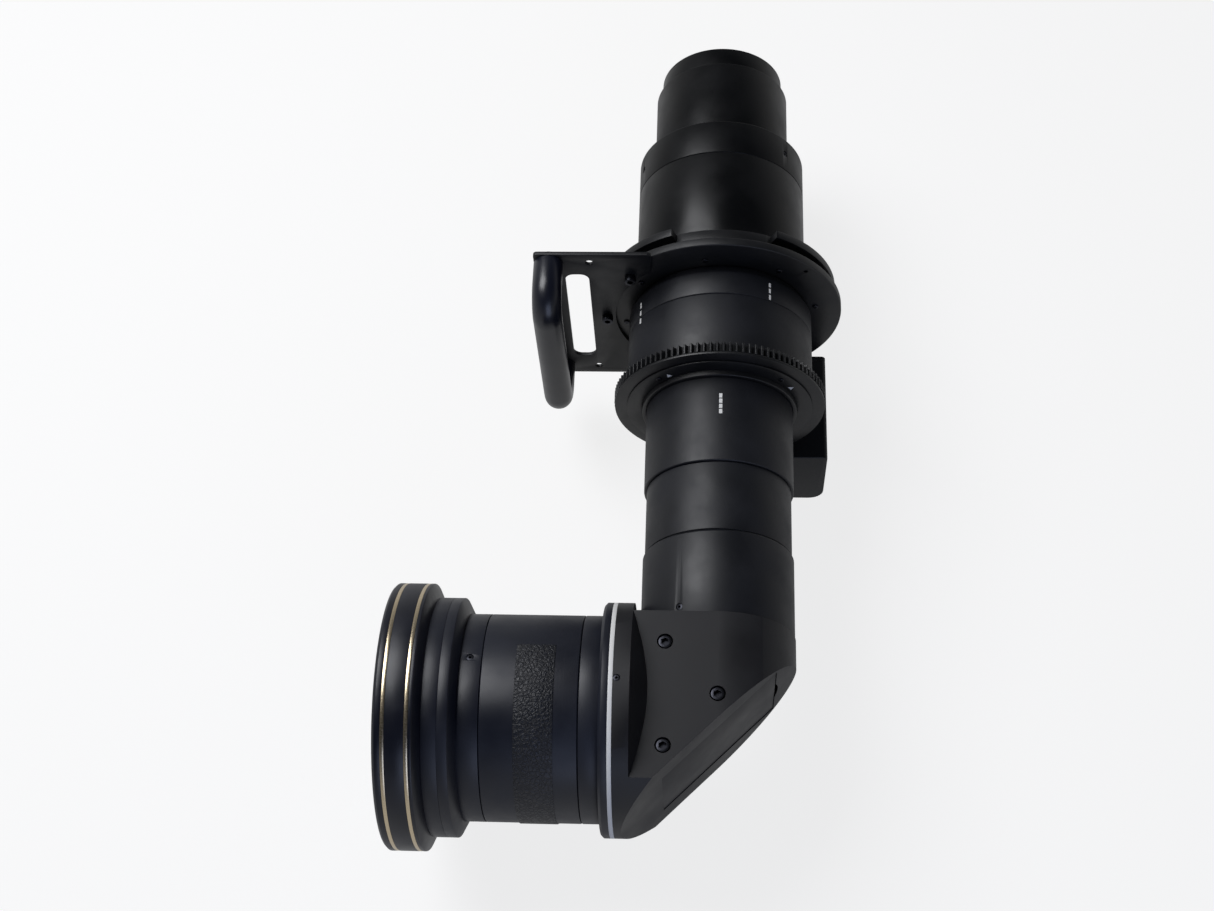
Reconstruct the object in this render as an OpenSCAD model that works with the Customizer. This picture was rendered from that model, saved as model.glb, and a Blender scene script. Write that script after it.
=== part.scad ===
// Projection zoom lens folded by a mirror elbow.
// The long barrel runs along Y with its projector end at +Y, the front barrel points along -X.
// The origin is on the long axis, at the rear face of the bayonet lugs.
// All sizes are in millimetres.

/* [View] */
// Piece to draw, or all of them

/* [Slim barrels] */
// Least height of the outer barrel over the sleeve
outer_step = 11.9; // [10.5:0.1:14]
// Length of the slim barrel from its lower seam to the sleeve lip
slim_len = 68; // [50:0.5:90]
// Length of the slim barrel inside the sleeve
slim_insert = 18; // [12:0.5:20]
// Wall of the slim barrels
slim_wall = 4; // [3:0.1:6]
// How much slimmer the middle barrel is than the slim barrel
middle_step = 1.9; // [1.2:0.1:3]
// Length of the middle barrel
middle_len = 53.5; // [40:0.5:80]
// How much slimmer the lower barrel is than the slim barrel
lower_step = 0.5; // [0.2:0.1:1.5]
// Length of the lower barrel
lower_len = 63; // [45:0.5:90]
// Length of the spigots that join the barrels
spigot_len = 9; // [6:0.5:14]
// Chamfer at every seam between barrels
seam_chamfer = 0.6; // [0.3:0.1:1.2]

/* [Guide sleeve] */
// Wall of the sleeve that the zoom ring turns on
sleeve_wall = 3.3; // [2.5:0.1:4]
// Length of the sleeve lip in front of the zoom ring
lip_len = 5.5; // [3:0.1:9]
// Wall of the group cells
cell_wall = 14.65; // [12:0.05:17]

/* [Zoom ring] */
// Module of the zoom ring teeth
ring_module = 1.5; // [1.4:0.01:1.6]
// Height of the teeth's pitch line over the rear barrel
ring_over = 12.4; // [11:0.1:15]
// Length of the teeth along the axis
tooth_len = 8; // [6:0.1:9]
// Thickness of the plain rim in front of the teeth
rim_t = 2; // [1.2:0.1:3]
// Wall of the hub behind the teeth
hub_wall = 6.9; // [5:0.1:8]
// Length of the hub behind the teeth
hub_len = 13; // [11:0.1:14]
// Width of the index disc
index_disc_w = 11.6; // [8:0.1:14]
// Height of the index disc above the zoom ring
index_disc_t = 1.4; // [1:0.1:2]
// Distance of the index disc screws from the sleeve
index_screw_in = 4.9; // [4:0.1:7]
// Zoom travel of the ring, both ways together, in degrees
zoom_span = 92; // [80:1:96]
// Part of the zoom travel on the negative side, in degrees
zoom_low = 56; // [48:1:60]

/* [Outer barrel] */
// Radius of the outer barrel
outer_r = 70.2; // [69:0.1:72]
// Wall of the outer barrel
outer_wall = 3.7; // [3:0.1:4]
// Length of the outer barrel
outer_len = 47.1; // [40:0.1:60]
// Gap between the zoom ring and the outer barrel
ring_gap = 0.4; // [0.3:0.05:0.8]
// Length of the index collar
index_len = 19.3; // [14:0.1:26]
// Wall of the neck between index collar and mount disc
neck_wall = 7.7; // [6:0.1:9]
// Length of the neck
neck_len = 7.5; // [5:0.1:10]
// Thickness of the webs that carry the barrels on the sleeve
web_t = 5; // [4:0.1:7]

/* [Mount] */
// Width of the mount disc around the rear barrel
disc_w = 27.8; // [25:0.1:31]
// Thickness of the mount disc
disc_t = 6.6; // [5:0.1:9]
// Distance of the mount disc screws from the rear barrel
disc_screw_in = 8.4; // [6:0.1:11]
// Number of mount disc screws
disc_screw_count = 8; // [6:1:10]
// Height of the bayonet neck over the rear barrel
bayonet_neck_h = 14.4; // [12:0.1:17]
// Length of the bayonet neck
bayonet_neck_len = 10.1; // [8:0.1:13]
// Height of the bayonet lugs over the neck
lug_h = 9; // [7:0.1:11]
// Thickness of the bayonet lugs
lug_t = 6.5; // [5:0.1:8]
// Angle of each gap between lugs, in degrees
lug_gap = 52; // [46:1:60]
// Height of the key segment over the neck
key_segment_h = 5; // [3:0.1:7]
// Thickness of the key segment
key_segment_t = 13; // [11:0.1:14]
// Angle of the key segment, in degrees
key_segment_angle = 45; // [38:1:48]

/* [Rear barrels] */
// Radius of the rear barrel that enters the projector
rear_r = 65.6; // [64:0.1:65.9]
// Least height of the rear barrel over the sleeve
rear_step = 7.3; // [6.5:0.1:9]
// Wall of the rear barrel
rear_wall = 4.6; // [3.5:0.1:6]
// Length of the rear barrel behind the mount disc
rear_len = 100.1; // [85:0.1:120]
// Length of the rear collar
collar_len = 31; // [24:0.1:40]
// Chamfer of the rear collar
collar_chamfer = 1.5; // [0.8:0.1:2.5]
// How much slimmer the rear tube is than the rear barrel
rear_tube_step = 12.2; // [10.5:0.1:15]
// Length of the rear tube
rear_tube_len = 67.5; // [50:0.1:85]
// How much slimmer the rear tip is than the rear tube
tip_step = 4.4; // [3:0.1:6]
// Length of the rear tip
tip_len = 19.2; // [14:0.1:26]
// Wall of the rear tip
tip_wall = 4; // [3:0.1:6]
// Thickness of the rear glass at its middle
rear_glass_t = 11; // [8:0.5:14]
// Radius of curvature of the rear glass
rear_glass_curve = 150; // [130:1:200]
// Thickness of the retaining rings
retainer_t = 3; // [2:0.1:4]
// Width of the retaining rings
retainer_w = 4.5; // [3:0.1:6]

/* [Elbow] */
// Ledge of the elbow around the lower barrel
elbow_ledge = 0.5; // [0.3:0.1:2]
// Distance of the elbow's top face beyond its flats
elbow_top_h = 4; // [3:0.1:8]
// Distance of the mitre face from the crossing of the axes
mitre_offset = 11.9; // [10:0.1:14]
// Wall between the elbow's bore and its flats
elbow_wall = 13; // [12:0.1:16]
// Distance of the round flange's back beyond the flats
flange_back_h = 2.6; // [2:0.1:6]
// Length of the cone that runs from the flange to the flats
shoulder_run = 11; // [9:0.1:13]
// Radius of the round flange
flange_r = 80.6; // [78:0.1:84]
// Thickness of the flange on the elbow
flange_t = 11.1; // [9:0.1:14]
// Ledge of the elbow inside the core tube
core_ledge = 1; // [0.5:0.1:3]
// Distance of the outer elbow screws from the flange's back
elbow_screw_back = 22; // [19:0.1:25]
// Distance of the elbow screws from the edge of the flats
elbow_screw_in = 22.4; // [19:0.1:26]
// Radius of the elbow screw heads
elbow_head_r = 4.6; // [4:0.1:5]
// Height of the elbow screw heads
elbow_head_h = 5.5; // [4.5:0.1:6]
// Radius of the counterbores around the elbow screw heads
elbow_counterbore_r = 5.5; // [5.2:0.1:6]
// Depth of the counterbores
elbow_counterbore_h = 6.2; // [5.8:0.1:7]
// Radius of the elbow screw shanks
elbow_shank_r = 2.8; // [2.4:0.1:3]
// Rim of the elbow at each end of the mirror cover
cover_end_rim = 1; // [0.5:0.1:6]
// Rim of the elbow at each side of the mirror cover
cover_side_rim = 20; // [15:0.1:25]
// Thickness of the mirror cover
cover_t = 4; // [3:0.1:5]
// Depth of the mirror cover below the mitre face
cover_recess = 0.5; // [0.3:0.1:1]
// Shift of the mirror cover along the mitre towards the flange
cover_shift = 9; // [5:0.5:12]
// Rim of the cover around the mirror
mirror_rim = 3; // [2:0.1:5]

/* [Front barrel] */
// Width of the pale inlay ring
inlay_w = 3; // [2:0.1:4]
// Depth of the inlay ring
inlay_depth = 2; // [1:0.1:3]
// Thickness of the front flange
front_flange_t = 6.3; // [5:0.1:9]
// Chamfer of the front flange
front_flange_chamfer = 2; // [1:0.1:3]
// How much slimmer the front barrel is than the flange
front_step = 9.3; // [8:0.1:12]
// Length of the fixed base ring
base_len = 13.2; // [10:0.1:18]
// Length of the focus ring
focus_len = 65.9; // [55:0.1:80]
// Depth of the focus ring around the core tube
focus_ring_wall = 4.3; // [3.5:0.1:6]
// Wall of the core tube
core_wall = 4; // [3.5:0.1:5]
// Gap at each end of the focus ring
focus_gap = 0.4; // [0.3:0.05:0.6]
// Width of the grip band
band_w = 26; // [20:0.5:34]
// Distance from the focus ring's flange end to the grip band
band_start = 16.7; // [12:0.1:22]
// Height of the grip band
band_t = 0.6; // [0.4:0.1:1]
// Angle left bare beside the grip band, in degrees
band_gap = 60; // [30:1:90]
// Angle of the edge of the grip band from +Z towards +Y, in degrees
band_edge = 23; // [10:1:40]
// Length of the front head ring
head_len = 14.4; // [11:0.1:20]
// Height of the hood over the front barrel
hood_h = 11; // [9:0.1:14]
// Length of the hood collar with its slope
hood_collar_len = 11.2; // [9:0.1:14]
// Run of the slope at the back of the hood collar
hood_slope_run = 4.3; // [3:0.1:6]
// Height of the foot of the hood's slope
hood_foot_h = 2.7; // [1.5:0.1:5]
// Length of the hood ring
hood_len = 10.4; // [8:0.1:14]
// Run of the slope at the back of the front ring
front_slope_run = 4.4; // [3:0.1:6]
// Height of the front ring over the hood
front_ring_h = 9.7; // [8:0.1:12]
// Length of the front ring
front_ring_len = 26.2; // [22:0.1:32]
// Chamfer of the front ring
front_ring_chamfer = 2; // [1:0.1:3]
// Width of each gold line
gold_w = 2.6; // [1.8:0.1:3.5]
// Depth of each gold line
gold_depth = 1; // [0.6:0.1:1.5]
// Distance from the front edge to the middle of the first gold line
gold_first = 7.1; // [5:0.1:9]
// Distance between the two gold lines
gold_pitch = 15.5; // [13:0.1:17]
// Wall of the hood around the front ring's bore
hood_wall = 6.3; // [5:0.1:9]
// Ledge that carries the front glass
front_ledge = 6; // [4:0.1:8]
// Thickness of the front glass at its middle
front_glass_t = 21; // [18:0.1:26]
// Radius of curvature of the front glass
front_glass_curve = 205; // [190:1:260]

/* [Focus cell] */
// Length of the focus cell
focus_cell_len = 30; // [24:0.5:36]
// Wall of the focus cell
focus_cell_wall = 7; // [5:0.1:9]
// Thickness of the focus glass at its middle
focus_glass_t = 12; // [9:0.5:16]
// Radius of curvature of the focus glass
focus_glass_curve = 200; // [170:1:260]
// Turn of the focus ring, both ways together, in degrees
focus_span = 50; // [40:1:56]
// Travel of the focus cell to each side
focus_travel = 3; // [2:0.1:4]

/* [Zoom groups] */
// Wall of the cam tube
cam_wall = 3; // [2.5:0.1:3.5]
// Gap between the slim barrel and the cam tube
cam_gap = 2.5; // [2:0.1:4]
// Length of the cam tube
cam_len = 67; // [62:0.5:68]
// Axial travel of the zoom cell for one full zoom span
zoom_travel = 20; // [16:0.5:22]
// Axial travel of the compensator cell for one full zoom span
compensator_travel = 8; // [6:0.5:9]
// Half length of the zoom cell
zoom_cell_half = 7; // [6:0.1:8]
// Half length of the compensator cell
compensator_half = 6; // [5:0.1:7]
// Distance from the cam tube's front end to the zoom pins
zoom_pin_at = 21; // [20:0.1:23]
// Distance from the cam tube's front end to the compensator pins
compensator_pin_at = 54; // [52:0.1:56]
// How far the sleeve's rear flange stays clear of the glasses
flange_clear = 3; // [2:0.1:4]
// Thickness of the group glasses at their middle
group_glass_t = 9; // [7:0.1:10]
// Radius of curvature of the group glasses
group_glass_curve = 160; // [120:1:220]
// Radius of the cam pins
cam_pin_r = 2.5; // [2:0.1:3]
// Clearance between cam pin and cam slot
cam_clearance = 0.35; // [0.3:0.05:0.5]
// Radius of the guide rods
rod_r = 2.5; // [2:0.1:3]
// Distance of the guide rods from the edge of the glasses
rod_out = 6.5; // [5.6:0.1:8]

/* [Handle] */
// Half depth of the handle plate
plate_half = 84; // [76:0.5:92]
// Thickness of the handle plate
plate_t = 3; // [2.5:0.1:4]
// Distance of the plate's outer edge from the mount disc
plate_out = 46.1; // [40:0.1:54]
// How far the plate's inner end lies inside the mount disc
plate_in = 41.4; // [36:0.1:46]
// Distance of the plate's cut-out from the rear barrel
plate_cut_gap = 15.4; // [14.5:0.1:17]
// Corner radius of the plate
plate_corner_r = 3; // [2:0.1:6]
// Distance of the finger window from the plate's sides
window_side = 26; // [24:0.5:32]
// Width of the finger window
window_w = 18; // [14:0.1:20]
// Distance of the window's inner edge from the mount disc
window_in = 5.9; // [3:0.1:9]
// Corner radius of the window
window_corner_r = 7; // [4:0.1:8]
// Radius of the handle bar
grip_r = 11; // [9:0.1:12]
// Height of the handle above the plate, over the bar
grip_reach = 48; // [42:0.5:56]
// Bend radius of the handle, on the centre line
grip_bend_r = 19; // [15:0.1:24]
// Radius of the small plate holes
plate_hole_r = 3; // [2:0.1:3.5]
// Distance of the small plate holes from the mount disc
plate_hole_in = 4.6; // [3.5:0.1:8]
// Distance of the small plate holes from the plate's sides
plate_hole_side = 10.5; // [8:0.1:14]
// Distance of the plate screws from the cut-out
plate_screw_in = 6.5; // [5.5:0.1:7]
// Angle from one plate screw to the next, in degrees
plate_screw_angle = 39; // [34:1:44]
// Radius of the plate screw heads
plate_head_r = 4.25; // [3.5:0.05:5]
// Height of the plate screw heads
plate_head_h = 5; // [4:0.1:6]
// Radius of the handle screw shanks
handle_screw_r = 3; // [2.5:0.1:4]
// Depth of the handle screws in the handle
handle_screw_depth = 15; // [10:0.5:20]
// Height of the handle screw heads behind the plate
handle_head_h = 4; // [3:0.1:5]
// Radius of the handle screw heads
handle_head_r = 5.5; // [4.5:0.1:6.5]

/* [Zoom drive] */
// Distance of the housing's outer side from the drive shaft
box_out = 40.15; // [36:0.05:46]
// Distance of the housing's inner side from the drive shaft
box_in = 31.05; // [26:0.05:36]
// Distance of the housing's near side from the drive shaft
box_near = 17.65; // [16.5:0.05:20]
// Distance of the housing's far side from the drive shaft
box_far = 52.35; // [48:0.05:60]
// Distance of the housing's front wall from the zoom ring's teeth
box_front = 10.7; // [8:0.1:14]
// Wall of the housing
box_wall = 3; // [2.5:0.1:3.5]
// Outer corner radius of the housing
box_corner_r = 12; // [8:0.1:15]
// Edge radius at the housing's near side
box_edge_r = 3.5; // [2:0.1:5]
// Gap between the zoom ring's teeth and the housing
box_gap = 1.5; // [1:0.1:2]
// Teeth of the drive pinion that meets the zoom ring
pinion_teeth = 18; // [18:1:20]
// Direction of the drive pinion seen along the barrel, in degrees
pinion_angle = 60.5; // [56:0.5:63]
// Module of the reduction teeth
reduction_module = 0.8; // [0.7:0.01:0.85]
// Teeth of the reduction wheel
wheel_teeth = 44; // [40:1:46]
// Teeth of the motor pinion
motor_teeth = 16; // [16:1:18]
// Thickness of the reduction wheel
wheel_t = 5; // [4:0.1:6]
// Radius of the drive shaft
shaft_r = 3; // [2.5:0.1:3.5]
// Radius of the motor
motor_r = 16.5; // [14:0.1:17]
// Length of the motor
motor_len = 48; // [40:0.5:54]
// Radius of the motor shaft
motor_shaft_r = 1.5; // [1.2:0.1:2]
// Thickness of the motor bracket
bracket_t = 3; // [2.5:0.1:4]
// Length of the contact block
contact_len = 24; // [18:0.5:28]
// Width of the contact block
contact_w = 12; // [9:0.5:16]
// Height of the contact block
contact_h = 6; // [4:0.5:8]

/* [Small screws] */
// Radius of the small screw heads
small_head_r = 2.2; // [1.8:0.1:2.6]
// Height of the small screw heads
small_head_h = 1.2; // [0.8:0.1:1.6]
// Radius of the small screw shanks
small_shank_r = 1.2; // [1:0.1:1.5]
// Length of the small screw shanks
small_shank_len = 5; // [3:0.1:6]
// Radius of the set screws
set_screw_r = 2.5; // [2:0.1:3]
// Length of the set screws
set_screw_len = 3; // [2:0.1:3.5]
// Depth of the set screws below the surface
set_screw_sink = 0.5; // [0.2:0.1:1]
// Radius of the socket in the set screws
set_socket_r = 1.1; // [0.8:0.1:1.3]

/* [Hidden] */
$fn = 96;
// Overrun of every cut
over = 1;
// Running clearance between turning or sliding pieces
run_fit = 0.05;
// Clearance around pieces that only pass each other
pass_gap = 0.3;
// Wall of the thin spigots and of the rear collar's end
spigot_wall = 3;
collar_wall = 4;
// Land that the rear tube's foot flange has behind the collar's end
foot_len = 6;
// Distance from the rear edge of the tip to the retaining ring
glass_recess = 4;
// Ledge that carries each glass
glass_ledge = 4;
// Phase of the mount disc screws, of the lug gaps and of the barrel set screws, in degrees
disc_screw_phase = -9.2;
lug_phase = 1.4;
lower_screw_phase = -29.6;
collar_screw_phase = 49.7;
// Height of the set screws above the elbow top and above the rear seam
lower_screw_at = 6.2;
collar_screw_at = 15.9;
// Set screws in the flange and the front head, measured from their outer ends
flange_screw_at = 2.6;
head_screw_at = 7.6;
head_screw_phase = 13.9;
// Drive key
key_half_w = 4;
key_half_t = 2;
key_back = 3.5;
key_out = 3.5;
key_bite = 2.4;
// Plate screw and cam pin details
plate_shank_r = 2.5;
plate_shank_len = 9;
pin_bite = 4;
rod_bite = 3;
elbow_shank_len = 5;
mirror_seat_t = 8;
mirror_light_in = 13;
seat_step = 1.6;
elbow_socket_r = 2.9;
elbow_socket_h = 3;
plate_socket_r = 2.4;
plate_socket_h = 2.5;
// Small edge chamfers
edge = 0.8;
fine_edge = 0.4;
// Backlash of the gear teeth
backlash = 0.16;
// Inner step of the front ring in front of the retaining ring
front_lip_w = 4;
// Glass dome ahead of the front ring's edge
dome_ahead = 1.2;
// Axial places of the drive train, measured from the teeth of the zoom ring
pinion_end = 1;
wheel_gap = 1;
bracket_gap = 2;
shaft_end = 1.5;
shaft_tail = 6;
boss_r = 4;
bolt_r = 2;
bolt_head_r = 3.5;
bolt_head_h = 1.8;
bolt_in = 6.2;
bolt_sink = 2;
land_in = 7.4;
land_h = 0.5;
outer_clear = 0.5;
bolt_len = 10;
motor_screw_at = 11.5;
motor_shaft_len = 10;
contact_wall = 2;
contact_depth = 4;
contact_pin_r = 0.8;
contact_pins = 5;
contact_reach = 25.5;
window_gap = 1.5;
// Angles of the pins and rods inside the barrels, and of the bolts of the housing, in degrees
zoom_pin_phase = 60;
comp_pin_phase = 0;
rod_phase = 30;
focus_pin_phase = 90;
bolt_angles = [56, 74];
// Tables of shares
reach_share = 1.6;
cut_share = 1.3;
flank_shares = [0.35, 0.7];

// The sleeve fits inside both outer barrels, and the slim barrels fit the sleeve
sleeve_r = min(outer_r - outer_step, rear_r - rear_step);
slim_r = sleeve_r - sleeve_wall;
middle_r = slim_r - middle_step;
lower_r = slim_r - lower_step;

// The elbow follows the barrel that stands on it
elbow_half = lower_r + elbow_ledge;
elbow_rise = elbow_half + elbow_top_h;
flange_back = elbow_half + flange_back_h;
elbow_screw_x = flange_back - elbow_screw_back;
elbow_screw_y = min(elbow_rise, sqrt(flange_r * flange_r - elbow_half * elbow_half)) - elbow_screw_in;
cover_len = 2 * (elbow_half - cover_end_rim);
cover_w = 2 * (elbow_half - cover_side_rim);

// Stations along the long axis, measured from the crossing of the axes
y_elbow = elbow_rise;
y_lower = y_elbow + lower_len;
y_middle = y_lower + middle_len;
y_lip = y_middle + slim_len;
y_rim = y_lip + lip_len;
y_teeth = y_rim + rim_t;
y_ring = y_teeth + tooth_len;
y_outer = y_ring + ring_gap;
y_hub = y_ring + hub_len;
y_web = y_hub + pass_gap;
y_index = y_outer + outer_len;
y_neck = y_index + index_len;
y_disc = y_neck + neck_len;
y_plate = y_disc - plate_t;
y_mount = y_disc + disc_t;
y_lug = y_mount + bayonet_neck_len;
y_seat = y_lug + lug_t;
y_seam = y_mount + rear_len;
y_collar = y_seam + collar_len;
y_tube = y_collar + rear_tube_len;
y_tip = y_tube + tip_len;
y_insert = y_lip + slim_insert;
y_cam = y_insert + cam_gap;
y_key = y_hub - key_back;
y_zoom = y_cam + zoom_pin_at;
y_comp = y_cam + compensator_pin_at;

// Stations along the front axis, measured from the crossing of the axes
x_flange = flange_back + flange_t;
x_inlay = x_flange + inlay_w;
x_base = x_inlay + front_flange_t;
x_focus = x_base + base_len;
x_head = x_focus + focus_len;
x_hood = x_head + head_len;
x_hood_ring = x_hood + hood_collar_len;
x_slope = x_hood_ring + hood_len;
x_front = x_slope + front_slope_run;
x_end = x_slope + front_ring_len + front_slope_run;
x_pins = x_focus + focus_len / 2;
x_glass = x_end + dome_ahead - front_glass_t;

// Radii that follow
neck_r = sleeve_r + neck_wall;
seat_r = rear_r - seat_step;
bayonet_neck_r = rear_r + bayonet_neck_h;
lug_r = bayonet_neck_r + lug_h;
key_segment_r = bayonet_neck_r + key_segment_h;
disc_r = rear_r + disc_w;
disc_screw_ring_r = rear_r + disc_screw_in;
bolt_ring_r = disc_r - bolt_in;
rear_tube_r = rear_r - rear_tube_step;
tip_r = rear_tube_r - tip_step;
index_disc_r = sleeve_r + index_disc_w;
index_screw_ring_r = sleeve_r + index_screw_in;
elbow_bore_r = elbow_half - elbow_wall;
mirror_light_r = elbow_bore_r - mirror_light_in;
front_r = flange_r - front_step;
core_r = front_r - focus_ring_wall;
hood_r = front_r + hood_h;
hood_slope_r = front_r + hood_foot_h;
front_ring_r = hood_r + front_ring_h;
front_bore_r = hood_r - hood_wall;
front_glass_r = front_bore_r + front_ledge;
slim_bore = slim_r - slim_wall;
middle_bore = slim_bore - spigot_wall;
lower_bore = lower_r - slim_wall;
lower_spigot_bore = middle_bore - spigot_wall;
outer_bore = outer_r - outer_wall;
rear_bore = rear_r - rear_wall;
collar_bore = rear_bore - spigot_wall;
tube_bore = tip_r;
tip_bore = tip_r - tip_wall;
cam_r = slim_r - run_fit;
cam_bore = cam_r - cam_wall;
cell_r = cam_bore - pass_gap;
core_bore = core_r - core_wall;
flange_bore_r = core_bore - core_ledge;
cell_bore_r = cell_r - cell_wall;
rod_at = cell_bore_r + rod_out;
sleeve_flange_bore = cell_bore_r + flange_clear;
hub_r = sleeve_r + hub_wall;
ring_teeth = round(2 * (rear_r + ring_over) / ring_module);
land_r = disc_r - land_in;
focus_cell_r = core_bore - run_fit;
focus_cell_bore = focus_cell_r - focus_cell_wall;
ring_pitch_r = ring_module * ring_teeth / 2;
pinion_pitch_r = ring_module * pinion_teeth / 2;
wheel_pitch_r = reduction_module * wheel_teeth / 2;
motor_pitch_r = reduction_module * motor_teeth / 2;
drive_at = ring_pitch_r + pinion_pitch_r;
motor_at = drive_at + wheel_pitch_r + motor_pitch_r;
rim_r = ring_pitch_r + ring_module - fine_edge;
mirror_t = mitre_offset - cover_recess - cover_t;

// Places on the handle plate
plate_reach = disc_r + plate_out;
plate_inner = disc_r - plate_in;
plate_cut_r = max(rear_r + plate_cut_gap, outer_r);
plate_screw_ring_r = plate_cut_r + plate_screw_in;
plate_hole_x = disc_r + plate_hole_in;
plate_hole_z = plate_half - plate_hole_side;
window_inner = disc_r + window_in;
window_half = plate_half - window_side;

// Sides of the motor housing
box_x = drive_at * cos(pinion_angle) + box_out;
box_inner_x = drive_at * cos(pinion_angle) - box_in;
box_near_z = drive_at * sin(pinion_angle) - box_near;
box_far_z = drive_at * sin(pinion_angle) + box_far;
box_hollow_r = max(ring_pitch_r + ring_module + box_gap, outer_r + outer_clear);
drive_hub_r = drive_at - box_hollow_r - box_wall - pass_gap;

// Axial places of the drive train
y_pinion = y_teeth + pass_gap;
y_wheel = y_ring + pinion_end + wheel_gap;
y_bracket = y_wheel + wheel_t + bracket_gap;
y_motor = y_bracket + bracket_t;
y_box = y_teeth - box_front;
y_cover = y_disc - box_wall;

// Rates of the cells, in millimetres for one radian of the zoom ring
zoom_rate = zoom_travel / zoom_span * 180 / PI;
comp_rate = -compensator_travel / zoom_span * 180 / PI;
focus_rate = 2 * focus_travel / focus_span * 180 / PI;
window_r = wheel_pitch_r + reduction_module + window_gap;
pilot_r = motor_pitch_r + reduction_module + pass_gap;
groove_r = (core_r + front_r) / 2;

function sag(curve, r) = curve - sqrt(curve * curve - r * r);
function inv_deg(a) = tan(a) * 180 / PI - a;
function tooth_half(z, m, r, slack) =
  let (base = m * z * cos(20) / 2)
  90 / z + inv_deg(20) - inv_deg(acos(min(1, base / max(r, base)))) - slack / (m * z) * 180 / PI;
function flank_radii(z, m) =
  let (pitch = m * z / 2, base = pitch * cos(20), root = pitch - 1.25 * m, tip = pitch + m)
  z > 60
    ? [root, pitch, tip]
    : [root, max(base, root), pitch - flank_shares[0] * m, pitch + flank_shares[0] * m,
      pitch + flank_shares[1] * m, tip];
function tooth_pts(z, m, slack, c) =
  let (radii = flank_radii(z, m), n = len(radii))
  concat(
    [for (k = [0 : n - 1])
      let (a = c - tooth_half(z, m, radii[k], slack))
      [radii[k] * cos(a), radii[k] * sin(a)]],
    [for (k = [n - 1 : -1 : 0])
      let (a = c + tooth_half(z, m, radii[k], slack))
      [radii[k] * cos(a), radii[k] * sin(a)]]);
function gear_pts(z, m, slack) = [for (i = [0 : z - 1]) each tooth_pts(z, m, slack, i * 360 / z)];
function tube_pts(ri, ro, a, b, ca, cb) =
  concat(
    [[ri, a]],
    ca > 0 ? [[ro - ca, a], [ro, a + ca]] : [[ro, a]],
    cb > 0 ? [[ro, b - cb], [ro - cb, b]] : [[ro, b]],
    [[ri, b]]);

// Half outline of a glass with a flat face at one station and a dome after it
function glass_pts(r, a, t, curve) =
  concat(
    [[0, a], [r, a]],
    [for (i = [16 : -1 : 0]) [r * i / 16, a + t - sag(curve, r * i / 16)]]);

// Places everything so that the origin sits at the bayonet's rear face
module seat() {
  translate([0, -y_seat, 0])
    children();
}

// Revolves an outline of [radius, station] points about the long axis
module long_rev(pts) {
  rotate([-90, 0, 0])
    rotate_extrude()
      polygon(pts);
}

// Revolves an outline of [radius, station] points about the front axis
module front_rev(pts) {
  rotate([0, -90, 0])
    rotate_extrude()
      polygon(pts);
}

module long_tube(ri, ro, a, b, ca = 0, cb = 0) {
  long_rev(tube_pts(ri, ro, a, b, ca, cb));
}

module front_tube(ri, ro, a, b, ca = 0, cb = 0) {
  front_rev(tube_pts(ri, ro, a, b, ca, cb));
}

module long_cyl(r, a, b) {
  translate([0, a, 0])
    rotate([-90, 0, 0])
      cylinder(r = r, h = b - a);
}

module front_cyl(r, a, b) {
  translate([-a, 0, 0])
    rotate([0, -90, 0])
      cylinder(r = r, h = b - a);
}

// Extrudes a flat shape drawn in X and -Z along the long axis
module long_extrude(a, b) {
  translate([0, a, 0])
    rotate([-90, 0, 0])
      linear_extrude(height = b - a)
        children();
}

// Cylinder that points outwards from the long axis, at an angle from +Z towards +X
module long_radial(angle, y, r, a, b) {
  rotate([0, angle, 0])
    translate([0, y, a])
      cylinder(r = r, h = b - a);
}

// Cylinder that points outwards from the front axis, at an angle from +Z towards +Y
module front_radial(angle, x, r, a, b) {
  rotate([-angle, 0, 0])
    translate([-x, 0, a])
      cylinder(r = r, h = b - a);
}

// Wedge about the long axis between two angles from +Z towards +X
module long_sector(from, to, r, a, b) {
  long_extrude(a, b)
    polygon(concat(
      [[0, 0]],
      [for (i = [0 : 8]) let (t = from + (to - from) * i / 8) [r * sin(t), -r * cos(t)]]));
}

// Wedge about the front axis between two angles from +Z towards +Y
module front_sector(from, to, r, a, b) {
  translate([-a, 0, 0])
    rotate([0, -90, 0])
      linear_extrude(height = b - a)
        polygon(concat(
          [[0, 0]],
          [for (i = [0 : 8]) let (t = from + (to - from) * i / 8) [r * cos(t), r * sin(t)]]));
}

// Rectangle with four round corners, in the flat drawing plane
module round_rect(x0, x1, y0, y1, r) {
  translate([x0 + r, y0])
    square([x1 - x0 - 2 * r, y1 - y0]);
  translate([x0, y0 + r])
    square([x1 - x0, y1 - y0 - 2 * r]);
  for (x = [x0 + r, x1 - r])
    for (y = [y0 + r, y1 - r])
      translate([x, y])
        circle(r = r);
}

// Helical cut around a pin's path, drawn about the upright axis
module cam_cut(radius, r, phase, at, rate, low, high) {
  lead = atan(abs(rate) / radius);
  half = (cam_pin_r + cam_clearance) / sin(lead) / radius * 180 / PI;
  a = at + min(rate * low, rate * high) * PI / 180 - cam_pin_r - cam_clearance;
  b = at + max(rate * low, rate * high) * PI / 180 + cam_pin_r + cam_clearance;
  turn = (b - a) / rate * 180 / PI;
  translate([0, 0, a])
    rotate([0, 0, phase + (at - a) / rate * 180 / PI])
      linear_extrude(height = b - a, twist = turn, slices = ceil(abs(turn) / 4), $fn = 8)
        polygon([[0, 0], [r, -r * tan(half)], [r, r * tan(half)]]);
}

// Frame of the mitre: x outwards from the mirror, y along the mitre
module mitre() {
  rotate([0, 0, -45])
    children();
}

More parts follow.
